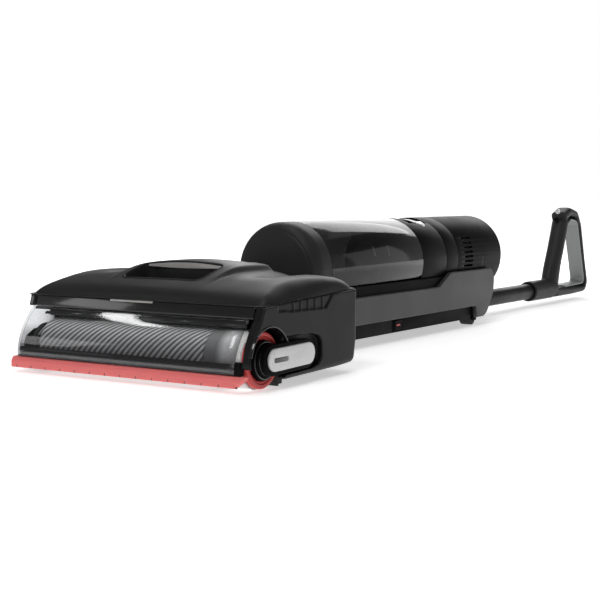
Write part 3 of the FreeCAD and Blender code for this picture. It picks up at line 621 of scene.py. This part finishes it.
def lid():
    """Lid shell: a grid of lines, closer where it curves, with the rear notch left out."""
    half_lines = stations([(0, 36, 3), (36, 68, 0.8), (68, 118, 2.5), (118, LID_HALF, 0.9)])
    xs = [-x for x in reversed(half_lines[1:])] + half_lines
    xs = sorted(set(round(x, 4) for x in xs) | {-NOTCH_HALF, NOTCH_HALF})
    ys = stations([(LID_FRONT, 36, 0.7), (36, 52, 1.2), (52, 62, 0.7), (62, 94, 2), (94, 104, 0.7),
                   (104, NOTCH_FRONT, 2.2), (NOTCH_FRONT, LID_REAR, 0.9)])
    shape = bmesh.new()
    grid = []
    for y in ys:
        squeeze = (lid_half(y) - LID_INNER) / (LID_HALF - LID_INNER)
        row = []
        for t in xs:
            moved = LID_INNER + (abs(t) - LID_INNER) * squeeze
            x = t if abs(t) <= LID_INNER else math.copysign(moved, t)
            row.append(shape.verts.new(at(x, y, lid_height(x, y))))
        grid.append(row)
    for j in range(len(ys) - 1):
        for i in range(len(xs) - 1):
            behind = ys[j] >= NOTCH_FRONT - 0.01
            if behind and abs(xs[i] + xs[i + 1]) / 2 < NOTCH_HALF:
                continue
            shape.faces.new((grid[j][i], grid[j][i + 1], grid[j + 1][i + 1], grid[j + 1][i]))
    loose = [v for v in shape.verts if not v.link_faces]
    bmesh.ops.delete(shape, geom=loose, context="VERTS")
    rim = [e for e in shape.edges if e.is_boundary]
    made = bmesh.ops.extrude_edge_only(shape, edges=rim)["geom"]
    for vertex in (g for g in made if isinstance(g, bmesh.types.BMVert)):
        y = (vertex.co.y - FRONT) / MM
        vertex.co.z = (seam(min(y, 182)) - 0.1) * MM
    piece = add_piece("lid_shell", shape, "lid_painted_light", "head", ("top_cover",))
    thicken(piece, SHELL_WALL)


def hump_lens():
    """Frosted bar at the back of the opening, its top edge arched."""
    count = 40
    half = LENS_HIGH.x
    rings = []
    for k in range(count + 1):
        x = -half + 2 * half * k / count
        bow = (x / half) ** 2
        top = LENS_HIGH.z + 2.2 - 2.4 * bow
        low = LENS_HIGH.z - 3.4 + 1.2 * bow
        front = LENS_LOW.y + 0.4 - 3.5 * bow
        back = front + 1.6
        section = round_off([(front, low), (back, low), (back + 1.2, top), (front + 1.2, top)], 0.6,
                            steps=3)
        rings.append([at(x, y, z) for y, z in section])
    add_piece("lens_bar", skin(rings), "lens", "head", ("hump_lens",))


def lip():
    """Glossy band below the lid with a separate end block, and a pale bar let into its top as a
    painted highlight on its finger notch.
    """
    front = LIP_LOW.y
    top = LIP_HIGH.z + 0.2
    section = round_off([(front + 0.3, LIP_LOW.z + 0.8), (front + 3.6, top), (LIP_HIGH.y, top),
                         (LIP_HIGH.y, LIP_LOW.z + 0.8)], [1.0, 1.6, 0.3, 0.3])
    left = -LID_HALF + 4.5
    join_x = left + 9
    main = bar(section, join_x, LIP_HIGH.x + 5)
    end = bar(section, left, join_x - 1.6, 1.2)
    add_piece("lip_band", join([main, end]), "gloss_black", "head", ("front_lip",))
    # Pale bar, a painted highlight on the finger notch in the lip's top.
    highlight_left, highlight_right = -33.0, 17.0
    highlight_bar = round_off([(front + 2.4, LIP_HIGH.z - 1.6), (front + 3.0, top), (front + 5.6, top),
                     (front + 5.6, LIP_HIGH.z - 1.6)], 0.3, steps=2)
    add_piece("lip_painted_highlight_bar", bar(highlight_bar, highlight_left, highlight_right), "lens", "head")


# ---- floor head: clear cover and bumper
# Front line of the clear cover and section of the red strip, both as (y, z).
WINDOW_LINE = [(2.0, 15.8), (2.1, 20.0), (3.4, 28.0), (7.0, 38.0), (14.2, 49.8), (24.4, 61.6)]
WINDOW_CORNER = 7.0
WINDOW_BACK = 60.5
SCRAPER_LEFT = -129.0
STRIP_LINE = [(0.0, 5.0), (0.0, 7.0), (0.02, 7.8), (0.2, 11.6), (2.6, 15.2), (8.6, 15.2),
              (9.0, 12.0), (7.6, 8.0), (3.0, 5.0)]
STRIP_ROUNDS = [0.6, 0, 0, 2.5, 2, 0.8, 0, 0, 0.6]
NOTCH_PITCH = 18.2
NOTCHES = range(-7, 8)


def window_profile(inset=0.0, steps=30):
    """Front line of the clear cover as (y, z), moved in towards the roller."""
    line = [(z, y) for y, z in WINDOW_LINE]
    low, high = line[0][0], line[-1][0]
    made = []
    for k in range(steps + 1):
        z = low + (high - low) * k / steps
        above = min(z + 0.5, high)
        below = max(z - 0.5, low)
        lean = through(line, below) - through(line, above)
        normal = Vector((above - below, lean)).normalized()
        made.append((through(line, z) + normal.x * inset, z + normal.y * inset * 0.6))
    return made


def clear_cover():
    """Clear front skin that turns back at its left end, with a dark rib at its top and dark glossy
    tiles behind it as painted reflections.
    """
    left = WINDOW_LOW.x
    rows = [[at(left, WINDOW_BACK, z) for y, z in window_profile(WINDOW_CORNER)]]
    turns = 8
    for k in range(turns + 1):
        angle = math.pi / 2 * k / turns
        inset = WINDOW_CORNER * (1 - math.sin(angle))
        x = left + WINDOW_CORNER * (1 - math.cos(angle))
        rows.append([at(x, y, z) for y, z in window_profile(inset)])
    for x in stations([(left + WINDOW_CORNER + 4, WINDOW_HIGH.x, 12)]):
        rows.append([at(x, y, z) for y, z in window_profile()])
    shape = skin(rows, closed_ring=False)
    shape.normal_update()
    front = max(shape.faces, key=lambda f: abs(f.normal.y))
    if front.normal.y > 0:
        bmesh.ops.reverse_faces(shape, faces=shape.faces)
    piece = add_piece("clear_front", shape, "clear_cover", "brush_cover", ("brush_window",),
                      turned=False)
    thicken(piece, SHELL_WALL)
    top = WINDOW_HIGH.z
    rib = round_off([(25.6, top - 0.8), (32.5, top - 0.8), (32.5, top + 1.6), (26.0, top + 1.6)],
                    0.4, steps=2)
    add_piece("cover_top_rib", bar(rib, left + 5, WINDOW_HIGH.x - 4), "black_plastic",
              "brush_cover")
    # Dark glossy tiles painted as reflections in the top of the clear cover.
    reflection_tile = round_off([(22.0, top - 4.6), (24.2, top - 2.0), (25.8, top - 2.0), (23.6, top - 4.6)],
                     0.2, steps=2)
    for number, (x0, x1) in enumerate(((-112, -54), (30, 98))):
        add_piece(f"cover_painted_reflection_{number}", bar(reflection_tile, x0, x1), "gloss_black", "brush_cover")


def scraper():
    """Light lower bar, dark upper bar and foot behind the clear cover, and its end block."""
    x0, x1 = SCRAPER_LEFT, WINDOW_HIGH.x - 1
    low = rounded_rect(4.2, 7.2, 17.2, 20.6, 0.5)
    add_piece("scraper_light_bar", bar(low, x0 + 3, x1), "light_alloy", "brush_cover",
              ("scraper_bar",))
    high = round_off([(4.6, 20.9), (7.4, 20.9), (7.8, 24.8), (6.0, 24.8)], 0.5, steps=3)
    add_piece("scraper_dark_bar", bar(high, x0, x1), "gloss_black", "brush_cover")
    foot = rounded_rect(4.0, 8.4, 15.5, 17.0, 0.3, 2)
    add_piece("scraper_foot", bar(foot, x0, x1 + 6), "black_plastic", "brush_cover")
    end = round_off([(2.6, 15.4), (9.0, 15.4), (9.0, 25.0), (5.0, 27.5), (3.0, 25.0)], 0.8,
                    steps=3)
    add_piece("cover_end_block", bar(end, x1 + 0.6, x1 + 7.0), "black_plastic", "brush_cover")


def bumper():
    """Soft red strip, its foot notched into short tongues, cut at a slant at its right end, with
    dark blocks deep in the notches as painted shadow.
    """
    low, high = corners("bumper_strip")
    section = round_off(STRIP_LINE, STRIP_ROUNDS, steps=5)
    notch, deep, eased = 0.5, 1.6, 0.35
    places = [(low.x, 0.0), (low.x + 0.5, 0.0)]
    for k in NOTCHES:
        middle = NOTCH_PITCH * k
        places += [(middle - notch, 0.0), (middle - notch * 0.7, deep),
                   (middle + notch * 0.7, deep), (middle + notch, 0.0)]
    places += [(high.x - 0.5, 0.0), (high.x, 0.0)]
    rings = []
    for i, (x, cut) in enumerate(places):
        tight = eased if i in (0, len(places) - 1) else 0.0
        ring = []
        for y, z in section:
            at_foot = z < 7.4 and y < 3.2
            moved = y + (cut if at_foot else 0.0) + tight * (1 if y < 4 else -1)
            slant = 8.0 * ease(high.x - 12, high.x, x) * (1 - ease(5.0, 14.0, z))
            ring.append(at(x - slant, moved, z + tight * (1 if z < 9 else -1)))
        rings.append(ring)
    # Painted shadow: dark blocks deep in each notch.
    notch_shadow_blocks = []
    for k in NOTCHES:
        middle = NOTCH_PITCH * k
        notch_shadow_blocks.append(block(middle - 0.45, middle + 0.45, 0.1, 1.9, 5.1, 7.3, 0.1))
    add_piece("strip_notch_shadows", join(notch_shadow_blocks), "black_rubber", "brush_cover")
    add_piece("bumper_strip_soft", skin(rings), "red_rubber", "brush_cover", ("bumper_strip",))


# ---- floor head: roller and sides
TUFTS = 1100
SLEEVE_STEPS = 180
RING_INNER = 18.2
RING_OUTER = 25.0
ARCH_R = 28.7
SQUEEGEE_ENDS = (121, 130.5)
SCREW_PLACES = ((40, 80), (98, 75), (70, 125))


def roller_pile():
    """Microfibre sleeve with fine spiral ridges, plain and speckled at its outer end."""
    rng = random.Random(SEED)
    rings = []
    left, right = PILE_LOW.x, PILE_HIGH.x
    for x in stations([(left, right, 0.8)]):
        plain = ease(right - PILE_PLAIN - 4, right - PILE_PLAIN - 1, x)
        ring = []
        for angle in circle(SLEEVE_STEPS):
            wave = 0.5 + 0.5 * math.sin(TURN * x / PILE_PITCH + PILE_STARTS * angle)
            r = ROLLER_R - 0.25 - 0.9 * (1 - plain) * wave ** 1.5 - 0.25 * rng.random()
            r -= 1.2 * (1 - ease(0, 2.0, min(x - left, right - x)))
            ring.append(at(x, ROLLER_Y + r * math.cos(angle), ROLLER_Z + r * math.sin(angle)))
        rings.append(ring)
    add_piece("pile_sleeve", skin(rings), "banded_pile", "roller", ("roller_pile",))
    add_piece("pile_end_tufts", end_tufts(rng, right), "microfibre", "roller")


def end_tufts(rng, right):
    """Short fibres that stand out round the outer end of the pile."""
    tufts = bmesh.new()
    for _ in range(TUFTS):
        angle = TURN * rng.random()
        root_r = ROLLER_R - 1.4 - rng.random()
        tip_r = min(ROLLER_R + 0.9, root_r + 1.6 + 1.2 * rng.random())
        x = right - 2.5 + 2.6 * rng.random()
        lean = 0.02 * rng.uniform(-1, 1)
        tip = at(x + 1.8 * rng.random(), ROLLER_Y + tip_r * math.cos(angle + lean),
                 max(0.3, ROLLER_Z + tip_r * math.sin(angle + lean)))
        root = at(x, ROLLER_Y + root_r * math.cos(angle), ROLLER_Z + root_r * math.sin(angle))
        side = Vector((0.18 * MM, 0, 0))
        round_way = Vector((0, -math.sin(angle), math.cos(angle))) * 0.2 * MM
        base = [tufts.verts.new(root + side), tufts.verts.new(root - side + round_way),
                tufts.verts.new(root - side - round_way)]
        top = tufts.verts.new(tip)
        tufts.faces.new(base)
        for a, b in ((0, 1), (1, 2), (2, 0)):
            tufts.faces.new((base[b], base[a], top))
    return tufts


def end_ring():
    """Red ring on the roller's free end, dished towards the hub."""
    x0, x1 = RING_LOW.x, RING_HIGH.x
    inner, outer = RING_INNER, RING_OUTER
    profile = round_off([(x0, inner), (x1 - 1.6, inner), (x1 - 1.2, inner + 2.0),
                         (x1 - 0.2, inner + 3.0), (x1, outer - 1.4), (x1 - 1.4, outer),
                         (x0, outer)], [0, 0.4, 0.6, 0.8, 1, 1, 0])
    add_piece("roller_ring", lathe_x(profile), "red_plastic", "roller", ("roller_end_ring",))


def hub_details():
    """Stepped rings turned on the lever's hub, and an arch moulding round the casing's hole."""
    for number, (radius, x) in enumerate(((16.2, 134.5), (12.6, 137.0))):
        profile = rounded_rect(x - 1.0, x + 0.6, radius - 0.9, radius + 0.5, 0.4)
        add_piece(f"hub_ring_{number}", lathe_x(profile), "gloss_black", "roller_handle")
    face = CASING_HIGH.x
    profile = round_off([(face - 2, ARCH_R), (face + 0.9, ARCH_R), (face + 0.9, ARCH_R + 1.3),
                         (face - 2, ARCH_R + 1.9)], [0, 0.6, 0.6, 0], steps=4)
    arch = lathe_x(profile, steps=90, start=math.radians(20), sweep=math.radians(150))
    add_piece("casing_arch", arch, "gloss_black", "head")


def plate_slot():
    """Dark pill-shaped slot let into the silver lever plate."""
    low, high = corners("lever_plate")
    y, z = low.y + 17.5, (low.z + high.z) / 2 - 0.6
    half, radius, steps = 8.4, 2.2, 24
    rings = []
    for x, grow in ((high.x - 0.8, 0.0), (high.x + 0.04, 0.0), (high.x + 0.12, -0.25)):
        r = radius + grow
        ring = []
        for angle in circle(steps):
            shift = half if math.cos(angle) >= 0 else -half
            ring.append(at(x, y + shift + r * math.cos(angle), z + r * math.sin(angle)))
        rings.append(ring)
    add_piece("plate_slot", skin(rings), "gloss_black", "roller_handle")


def squeegee_ends():
    """Rubber block at each end of the rear squeegee."""
    shapes = []
    for side in (-1, 1):
        x0, x1 = sorted(side * x for x in SQUEEGEE_ENDS)
        shapes.append(block(x0, x1, 57.5, 66.0, 2.0, 13.0, 1.0))
    add_piece("squeegee_end_blocks", join(shapes), "black_rubber", "head")


def ring_round(x, y, z, radii):
    """Level ring of points round a place, one at each of the given radii."""
    ring = []
    for angle, r in zip(circle(len(radii)), radii):
        ring.append(at(x + r * math.cos(angle), y + r * math.sin(angle), z))
    return ring


def screws():
    """Cross-recess screws under the floor plate."""
    low, high = corners("floor_plate_screws")
    steps = 24
    outside = ((1.4, high.z), (1.4, 9.0), (3.2, 9.0), (3.2, 7.9), (2.7, low.z))
    shapes = []
    for x, y in SCREW_PLACES:
        for side in (-1, 1):
            rings = [ring_round(side * x, y, z, [r] * steps) for r, z in outside]
            for depth in (0.0, 0.9):
                cross = [0.9 + 0.9 * abs(math.cos(2 * angle)) ** 3 - 0.2 * depth
                         for angle in circle(steps)]
                rings.append(ring_round(side * x, y, low.z + depth, cross))
            shapes.append(skin(rings))
    add_piece("plate_screws", join(shapes), "steel", "head", ("floor_plate_screws",))


def wheels():
    """Rear wheels: tyre with a ribbed tread and a dished face."""
    for side in ("left", "right"):
        node = "rear_wheel_" + side
        low, high = corners(node)
        y, z = (low.y + high.y) / 2, (low.z + high.z) / 2
        x0, x1 = low.x, high.x
        radius = (high.z - low.z) / 2
        face = [(1, 3.1), (0.2, 5), (0.2, 6), (1.2, 7), (1.2, 13), (0.2, 14.4),
                (0.2, radius - 2.0), (0.8, radius - 0.8)]
        ribs = 12
        tread = [(x0 + 1.6 + (x1 - x0 - 3.2) * k / ribs, radius - (0.0 if k % 2 else 0.5))
                 for k in range(ribs + 1)]
        profile = [(x0 + deep, r) for deep, r in face] + tread
        profile += [(x1 - deep, r) for deep, r in reversed(face)]
        add_piece("wheel_" + side + "_tyre", lathe_x(profile, y, z, 96), "black_rubber",
                  "wheel_" + side, (node,))


# ---- body: tank, housing and trims
TANK_WALL = 2.2
DOME_DEEP = 16
DOME_ROUND = 8.6
HOOP_Y = (384, 411)
HOOP_R = (48.6, 46.8)
MARK_Y = (373, 405)
MARK_ANGLE = 14
MARK_PITCH = 2.2


def tank():
    """Smoked tube, a hoop inside it, domed cap with a crease, and level marks."""
    y0, y1 = TANK_LOW.y, TANK_HIGH.y
    profile = rounded_rect(y0, y1, BARREL_R, BARREL_R - TANK_WALL, 0.5)
    add_piece("tank_barrel", lathe_y(profile, BARREL_Z, 192), "smoked_tank", "dirty_tank",
              ("tank_tube",))
    add_piece("tank_dome", disc_y(dome_profile(), BARREL_Z, 192), "charcoal_painted_highlight", "dirty_tank",
              ("tank_front_cap",))
    profile = rounded_rect(*HOOP_Y, *HOOP_R, 0.6)
    add_piece("tank_inner_hoop", lathe_y(profile, BARREL_Z, 128), "black_plastic", "dirty_tank")
    marks = []
    for y in MARK_Y:
        for k in range(6):
            length = 1.4 if k % 2 else 2.2
            marks.append(level_mark(y, length, math.radians(MARK_ANGLE + MARK_PITCH * k)))
    add_piece("tank_level_marks", join(marks), "grip_grey", "dirty_tank")


def dome_profile():
    """Section of the tank's front cap: flat face, crease, round shoulder and hollow back."""
    front, back = CAP_LOW.y, TANK_LOW.y - 0.2
    profile = [(front + 0.6, 0.0), (front + 0.5, 20.0), (front + 0.4, 40.6), (front + 0.7, 41.6),
               (front + 1.5, 42.4)]
    steps = 16
    for k in range(steps + 1):
        angle = math.pi / 2 * k / steps
        profile.append((front + 1.6 + DOME_DEEP * (1 - math.cos(angle)),
                        BARREL_R - DOME_ROUND + DOME_ROUND * math.sin(angle)))
    profile += [(back - 0.6, BARREL_R), (back, BARREL_R - 0.5), (back, BARREL_R - 4),
                (front + 16, BARREL_R - 5), (front + 5, BARREL_R - 12), (front + 4, 0.0)]
    return profile


def level_mark(y, length, angle):
    """Small raised dash on the tank's outside."""
    high = BARREL_R + 0.08
    low = BARREL_R - 0.3
    half = 0.14 / BARREL_R
    rings = []
    section = ((low, angle - half), (high, angle - half), (high, angle + half),
               (low, angle + half))
    for along in (y - length / 2, y + length / 2):
        rings.append([at(r * math.cos(a), along, BARREL_Z + r * math.sin(a)) for r, a in section])
    return skin(rings)


def rear_disc():
    """Glossy disc on the back of the housing with a thin light ring."""
    low, high = corners("display_disc")
    y = high.y
    profile = [(low.y, 0.0), (y - 0.5, 0.0), (y - 0.2, 20), (y, 36.6), (y - 0.5, 37.8),
               (low.y, 37.8)]
    add_piece("rear_display", disc_y(profile, BARREL_Z, 128), "gloss_black", "body",
              ("display_disc",))
    ring = rounded_rect(y - 0.6, y + 0.15, 29.4, 30.6, 0.2, 2)
    add_piece("rear_light_ring", lathe_y(ring, BARREL_Z, 128), "lens", "body")


def battery_mark():
    """Small red lozenge on the battery's latch."""
    low, high = corners("battery_latch")
    y, z = (low.y + high.y) / 2, (low.z + high.z) / 2
    lozenge = block(high.x - 0.5, high.x + 0.25, y - 4.2, y + 4.2, z - 0.9, z + 0.9, 0.2)
    add_piece("latch_mark", lozenge, "red_plastic", "battery_latch")


def tank_latch_trim():
    """Silver crescent let into the housing beside the dark tank latch."""
    low, high = corners("tank_latch")
    rings = []
    steps = 16
    for k in range(steps + 1):
        share = k / steps
        x = 20.4 + 10.4 * share
        half = 7.6 * math.sqrt(max(0.02, 1 - share ** 2.2))
        top = BARREL_Z + math.sqrt((BARREL_R - 0.25) ** 2 - x ** 2)
        middle = (low.y + high.y) / 2 - 2.0 * share
        section = ((-half, -1.2), (-half, -0.2), (-half + 0.6, 0.3), (half - 0.6, 0.3),
                   (half, -0.2), (half, -1.2))
        rings.append([at(x, middle + u, top + v) for u, v in section])
    add_piece("latch_crescent", skin(rings), "silver", "body")


def housing_dots():
    """Row of small dots on the housing's side."""
    shapes = []
    for k in range(4):
        z = 78 + 3.0 * k
        lift = z - BARREL_Z
        x = math.sqrt(BARREL_R ** 2 - lift ** 2)
        shapes.append(block(x - 0.6, x + 0.1, 650.3, 651.7, z - 0.7, z + 0.7, 0.2))
    add_piece("housing_dots", join(shapes), "gloss_black", "body")


# ---- handle
# Middle lines of the front post, the loop and the lining band, as (y, z).
POST_LINE = [(1000, 18), (1009, 50), (1028, 90), (1044, 126)]
LOOP_LINE = [(1040, 132), (1062, 140), (1088, 136), (1102, 118), (1118, 70), (1134, 26),
             (1126, 16), (1080, 15.5), (1010, 17)]
LOOP_ROUNDS = [0, 10, 10, 10, 20, 8, 8, 10, 0]
LINER_LINE = [(1047, 118), (1064, 128), (1090, 124), (1125, 25.5), (1044, 24)]
LINER_ROUNDS = [0, 10, 12, 7, 0]
GRIP_HALF = 12.6
LINER_HALF = 11.6
LINER_THICK = 1.3
TUBE_Z = 23.0
POST_UP = Vector((0, 46, 96)).normalized()
POST_BACK = Vector((0, 96, -46)).normalized()
BUTTON_R = 3.9
BUTTON_OUT = 2.3


def along_path(line, rounds, section):
    """Rings set square to a rounded line of (y, z); section gives a place's (x, outward) points."""
    path = [Vector((0, *p)) for p in round_off(line, rounds, closed=False)]
    rings = []
    for i, point in enumerate(path):
        way = (path[min(i + 1, len(path) - 1)] - path[max(i - 1, 0)]).normalized()
        out = Vector((0, -way.z, way.y))
        ring = []
        for u, v in section(point):
            place = point + out * v
            ring.append(at(u, place.y, place.z))
        rings.append(ring)
    return rings


def loop_section(point):
    """Soft-cornered section of the handle's loop, thicker towards the front."""
    thick = 5.6 + 2.2 * ease(1100, 1040, point.y)
    section = []
    for t in circle(32):
        u = math.copysign(abs(math.cos(t)) ** 0.55, math.cos(t)) * GRIP_HALF
        v = math.copysign(abs(math.sin(t)) ** 0.7, math.sin(t)) * thick
        section.append((u, v))
    return section


def grip():
    """Handle moulding: round post, thin rear leg and foot, melted into one smooth skin."""
    line = [(z, y) for y, z in POST_LINE]
    post = []
    steps = 24
    for k in range(steps + 1):
        z = line[0][0] + (line[-1][0] - line[0][0]) * k / steps
        y = through(line, z)
        deep = 17.5 - 4.0 * ease(30, 110, z)
        post.append([at(GRIP_HALF * math.cos(t), y + 3.0 + deep * math.sin(t), z)
                     for t in circle(40)])
    loop = along_path(LOOP_LINE, LOOP_ROUNDS, loop_section)
    low, high = corners("grip_shell")
    radius = high.x
    profile = [(low.y, 12.0), (low.y, radius - 1.2), (low.y + 1.2, radius), (1006, radius),
               (1012, 12.0)]
    collar = lathe_y(profile, TUBE_Z, 96)
    piece = add_piece("grip_moulding", join([skin(post), skin(loop), collar]), "charcoal_painted_highlight",
                      "body", ("grip_shell",))
    melt(piece, 1.1, 8)


def liner():
    """Light band lining the top, back and foot of the handle's opening."""
    section = rounded_rect(-LINER_HALF, LINER_HALF, -LINER_THICK, LINER_THICK, 1.1)
    rings = along_path(LINER_LINE, LINER_ROUNDS, lambda point: section)
    add_piece("liner_band", skin(rings), "grip_grey", "body", ("grip_liner",))


def button_cap(node, look, root, dish):
    """Domed cap on the post's front; dish hollows its lower half, root is its depth."""
    low, high = corners(node)
    start = (low + high) / 2 - POST_BACK * BUTTON_OUT
    rings = []
    for depth, share in ((root, 1.0), (0.8, 1.0), (0.25, 0.94), (0.0, 0.8), (-0.15, 0.5),
                         (-0.2, 0.15)):
        ring = []
        for angle in circle(48):
            u = BUTTON_R * share * math.cos(angle)
            v = BUTTON_R * share * math.sin(angle)
            hollow = dish * max(0.0, -v / BUTTON_R)
            point = start + POST_BACK * (depth + hollow) + Vector((u, 0, 0)) + POST_UP * v
            ring.append(at(point.x, point.y, point.z))
        rings.append(ring)
    add_piece(node + "_cap", skin(rings), look, body_of(node), (node,))


def handle_buttons():
    """Domed power button and a crescent mode button."""
    button_cap("power_button", "black_plastic", 3.6, 0.0)
    button_cap("mode_button", "silver", 2.2, 0.7)


# ---- stage, light and camera
FLOOR_REACH = 26.0
# Name, place and aim in metres, width, height, watts.
LAMPS = (
    ("overhead", (0.0, -0.3, 2.4), (0, -0.2, 0), 1.2, 1.2, 14),
    ("front_fill", (0.4, -2.3, 2.1), (0, -0.5, 0.05), 1.2, 0.8, 24),
    ("front_left", (-2.3, -2.2, 0.97), (0, -0.5, 0.05), 0.9, 0.55, 2.6),
    ("cover_strip", (-1.44, -1.03, 1.7), (0, -0.554, 0.055), 0.3, 0.08, 0.7),
    ("back_panel", (-0.72, 1.75, 0.5), (0, -0.1, 0.1), 1.5, 0.7, 5),
    ("back_panel_high", (-0.72, 1.75, 1.35), (0, -0.1, 0.1), 1.5, 1.0, 11),
    ("back_left", (-1.95, 1.25, 0.3), (0, -0.5, 0.08), 0.9, 0.4, 1.2),
    ("rear_fill", (-1.6, 1.6, 2.0), (0, 0, 0.05), 1.4, 1.0, 5),
    ("side_panel", (1.0, 1.55, 0.42), (0, -0.1, 0.1), 0.8, 0.75, 0.8),
)
EYE = (0.7552, -1.443, 0.1693)
EYE_DOWN = 4.745
EYE_TURN = 32.9
LENS_LENGTH = 77.34


def stage():
    """Pale floor that glows more with distance, so that it runs into the white behind."""
    shape = bmesh.new()
    bmesh.ops.create_grid(shape, x_segments=8, y_segments=8, size=FLOOR_REACH)
    mesh = bpy.data.meshes.new("floor")
    shape.to_mesh(mesh)
    shape.free()
    ground = bpy.data.objects.new("floor", mesh)
    bpy.context.scene.collection.objects.link(ground)
    paper = finish("floor_paper", (0.9, 0.9, 0.9), 0.8, grain=2.0, relief=0.0, tint=0.01, wear=0.0,
                   Specular_IOR_Level=0.1, Emission_Color=(1, 1, 1, 1))
    tree = paper.node_tree
    make = node_maker(tree)
    reach = make("VectorMath", i0=make("TexCoord").outputs["Object"])
    reach.operation = "LENGTH"
    glow = make("MapRange", Value=reach.outputs["Value"], From_Min=0.6, From_Max=1.8, To_Min=0.5,
                To_Max=1.1)
    tree.links.new(glow.outputs[0], tree.nodes["Principled BSDF"].inputs["Emission Strength"])
    mesh.materials.append(paper)


def softbox(name, place, aim, width, height, power):
    """Rectangular lamp at a place in metres, turned to an aim; power in watts."""
    light = bpy.data.lights.new(name, "AREA")
    light.shape = "RECTANGLE"
    light.size = width
    light.size_y = height
    light.energy = power
    lamp = bpy.data.objects.new(name, light)
    lamp.location = place
    lamp.rotation_euler = (Vector(aim) - Vector(place)).to_track_quat("-Z", "Y").to_euler()
    lamp.visible_camera = False
    bpy.context.scene.collection.objects.link(lamp)


def lights():
    """Softboxes and a white surround, bright to the camera and dim as a light."""
    for lamp in LAMPS:
        softbox(*lamp)
    world = bpy.data.worlds.new("studio")
    bpy.context.scene.world = world
    world.use_nodes = True
    tree = world.node_tree
    make = node_maker(tree)
    back = tree.nodes["Background"]
    up = make("SeparateXYZ", Vector=make("TexCoord").outputs["Generated"])
    level = make("MapRange", Value=up.outputs[2], From_Min=-0.1, From_Max=0.4, To_Min=0.4,
                 To_Max=0.1)
    seen = make("LightPath").outputs["Is Camera Ray"]
    strength = make("Mix", Factor=seen, A=level.outputs[0], B=1.0)
    tree.links.new(strength.outputs[0], back.inputs["Strength"])
    back.inputs["Color"].default_value = (1, 1, 1, 1)


def camera():
    """Low three-quarter view from in front of the head's right corner."""
    lens = bpy.data.cameras.new("view")
    lens.lens = LENS_LENGTH
    lens.sensor_width = 36.0
    lens.clip_end = 60.0
    eye = bpy.data.objects.new("view", lens)
    eye.location = EYE
    eye.rotation_euler = (math.radians(90 - EYE_DOWN), 0, math.radians(EYE_TURN))
    bpy.context.scene.collection.objects.link(eye)
    bpy.context.scene.camera = eye
    bpy.context.scene.view_settings.view_transform = "Standard"


# ---- build
EDGE_RADII = {
    "head_chassis": 0.4, "rear_squeegee": 0.25, "brush_motor": 0.6, "suction_duct": 0.5,
    "roller_lever": 0.8, "lever_plate": 0.6, "roller_core": 0.4, "neck_yoke": 0.6,
    "neck_tilt_pin": 0.5, "neck_fork": 0.9, "spine_frame": 0.8, "side_panel_left": 0.3,
    "side_panel_right": 0.3, "main_tube": 0.3, "battery_case": 0.8, "battery_latch": 0.4,
    "clean_water_tank": 0.8, "clean_tank_cap": 0.5, "water_pump": 0.6, "support_rollers": 0.8,
    "tank_lid": 0.5, "tank_filter": 0.6, "intake_pipe": 0.4, "suction_motor": 0.8,
}
# Softened parts that wear another finish than their slot's.
RELOOKED = {"tank_latch": "gloss_black", "spray_bar": "gloss_black",
            "motor_housing": "dark_shell", "exhaust_cover": "dark_shell"}
RELOOKED_RADIUS = 0.35
CASING_CELL = 0.75


def build():
    """Makes every piece, then the stage, the lamps and the camera."""
    dress_cad_parts()
    for node, radius in EDGE_RADII.items():
        softened(node, radius)
    for node, look in RELOOKED.items():
        softened(node, RELOOKED_RADIUS, look)
    for side in ("right", "left"):
        melted("side_casing_" + side, CASING_CELL)
    lid()
    hump_lens()
    lip()
    clear_cover()
    scraper()
    bumper()
    roller_pile()
    end_ring()
    hub_details()
    plate_slot()
    squeegee_ends()
    screws()
    wheels()
    tank()
    rear_disc()
    battery_mark()
    housing_dots()
    tank_latch_trim()
    grip()
    liner()
    handle_buttons()
    stage()
    lights()
    camera()


build()
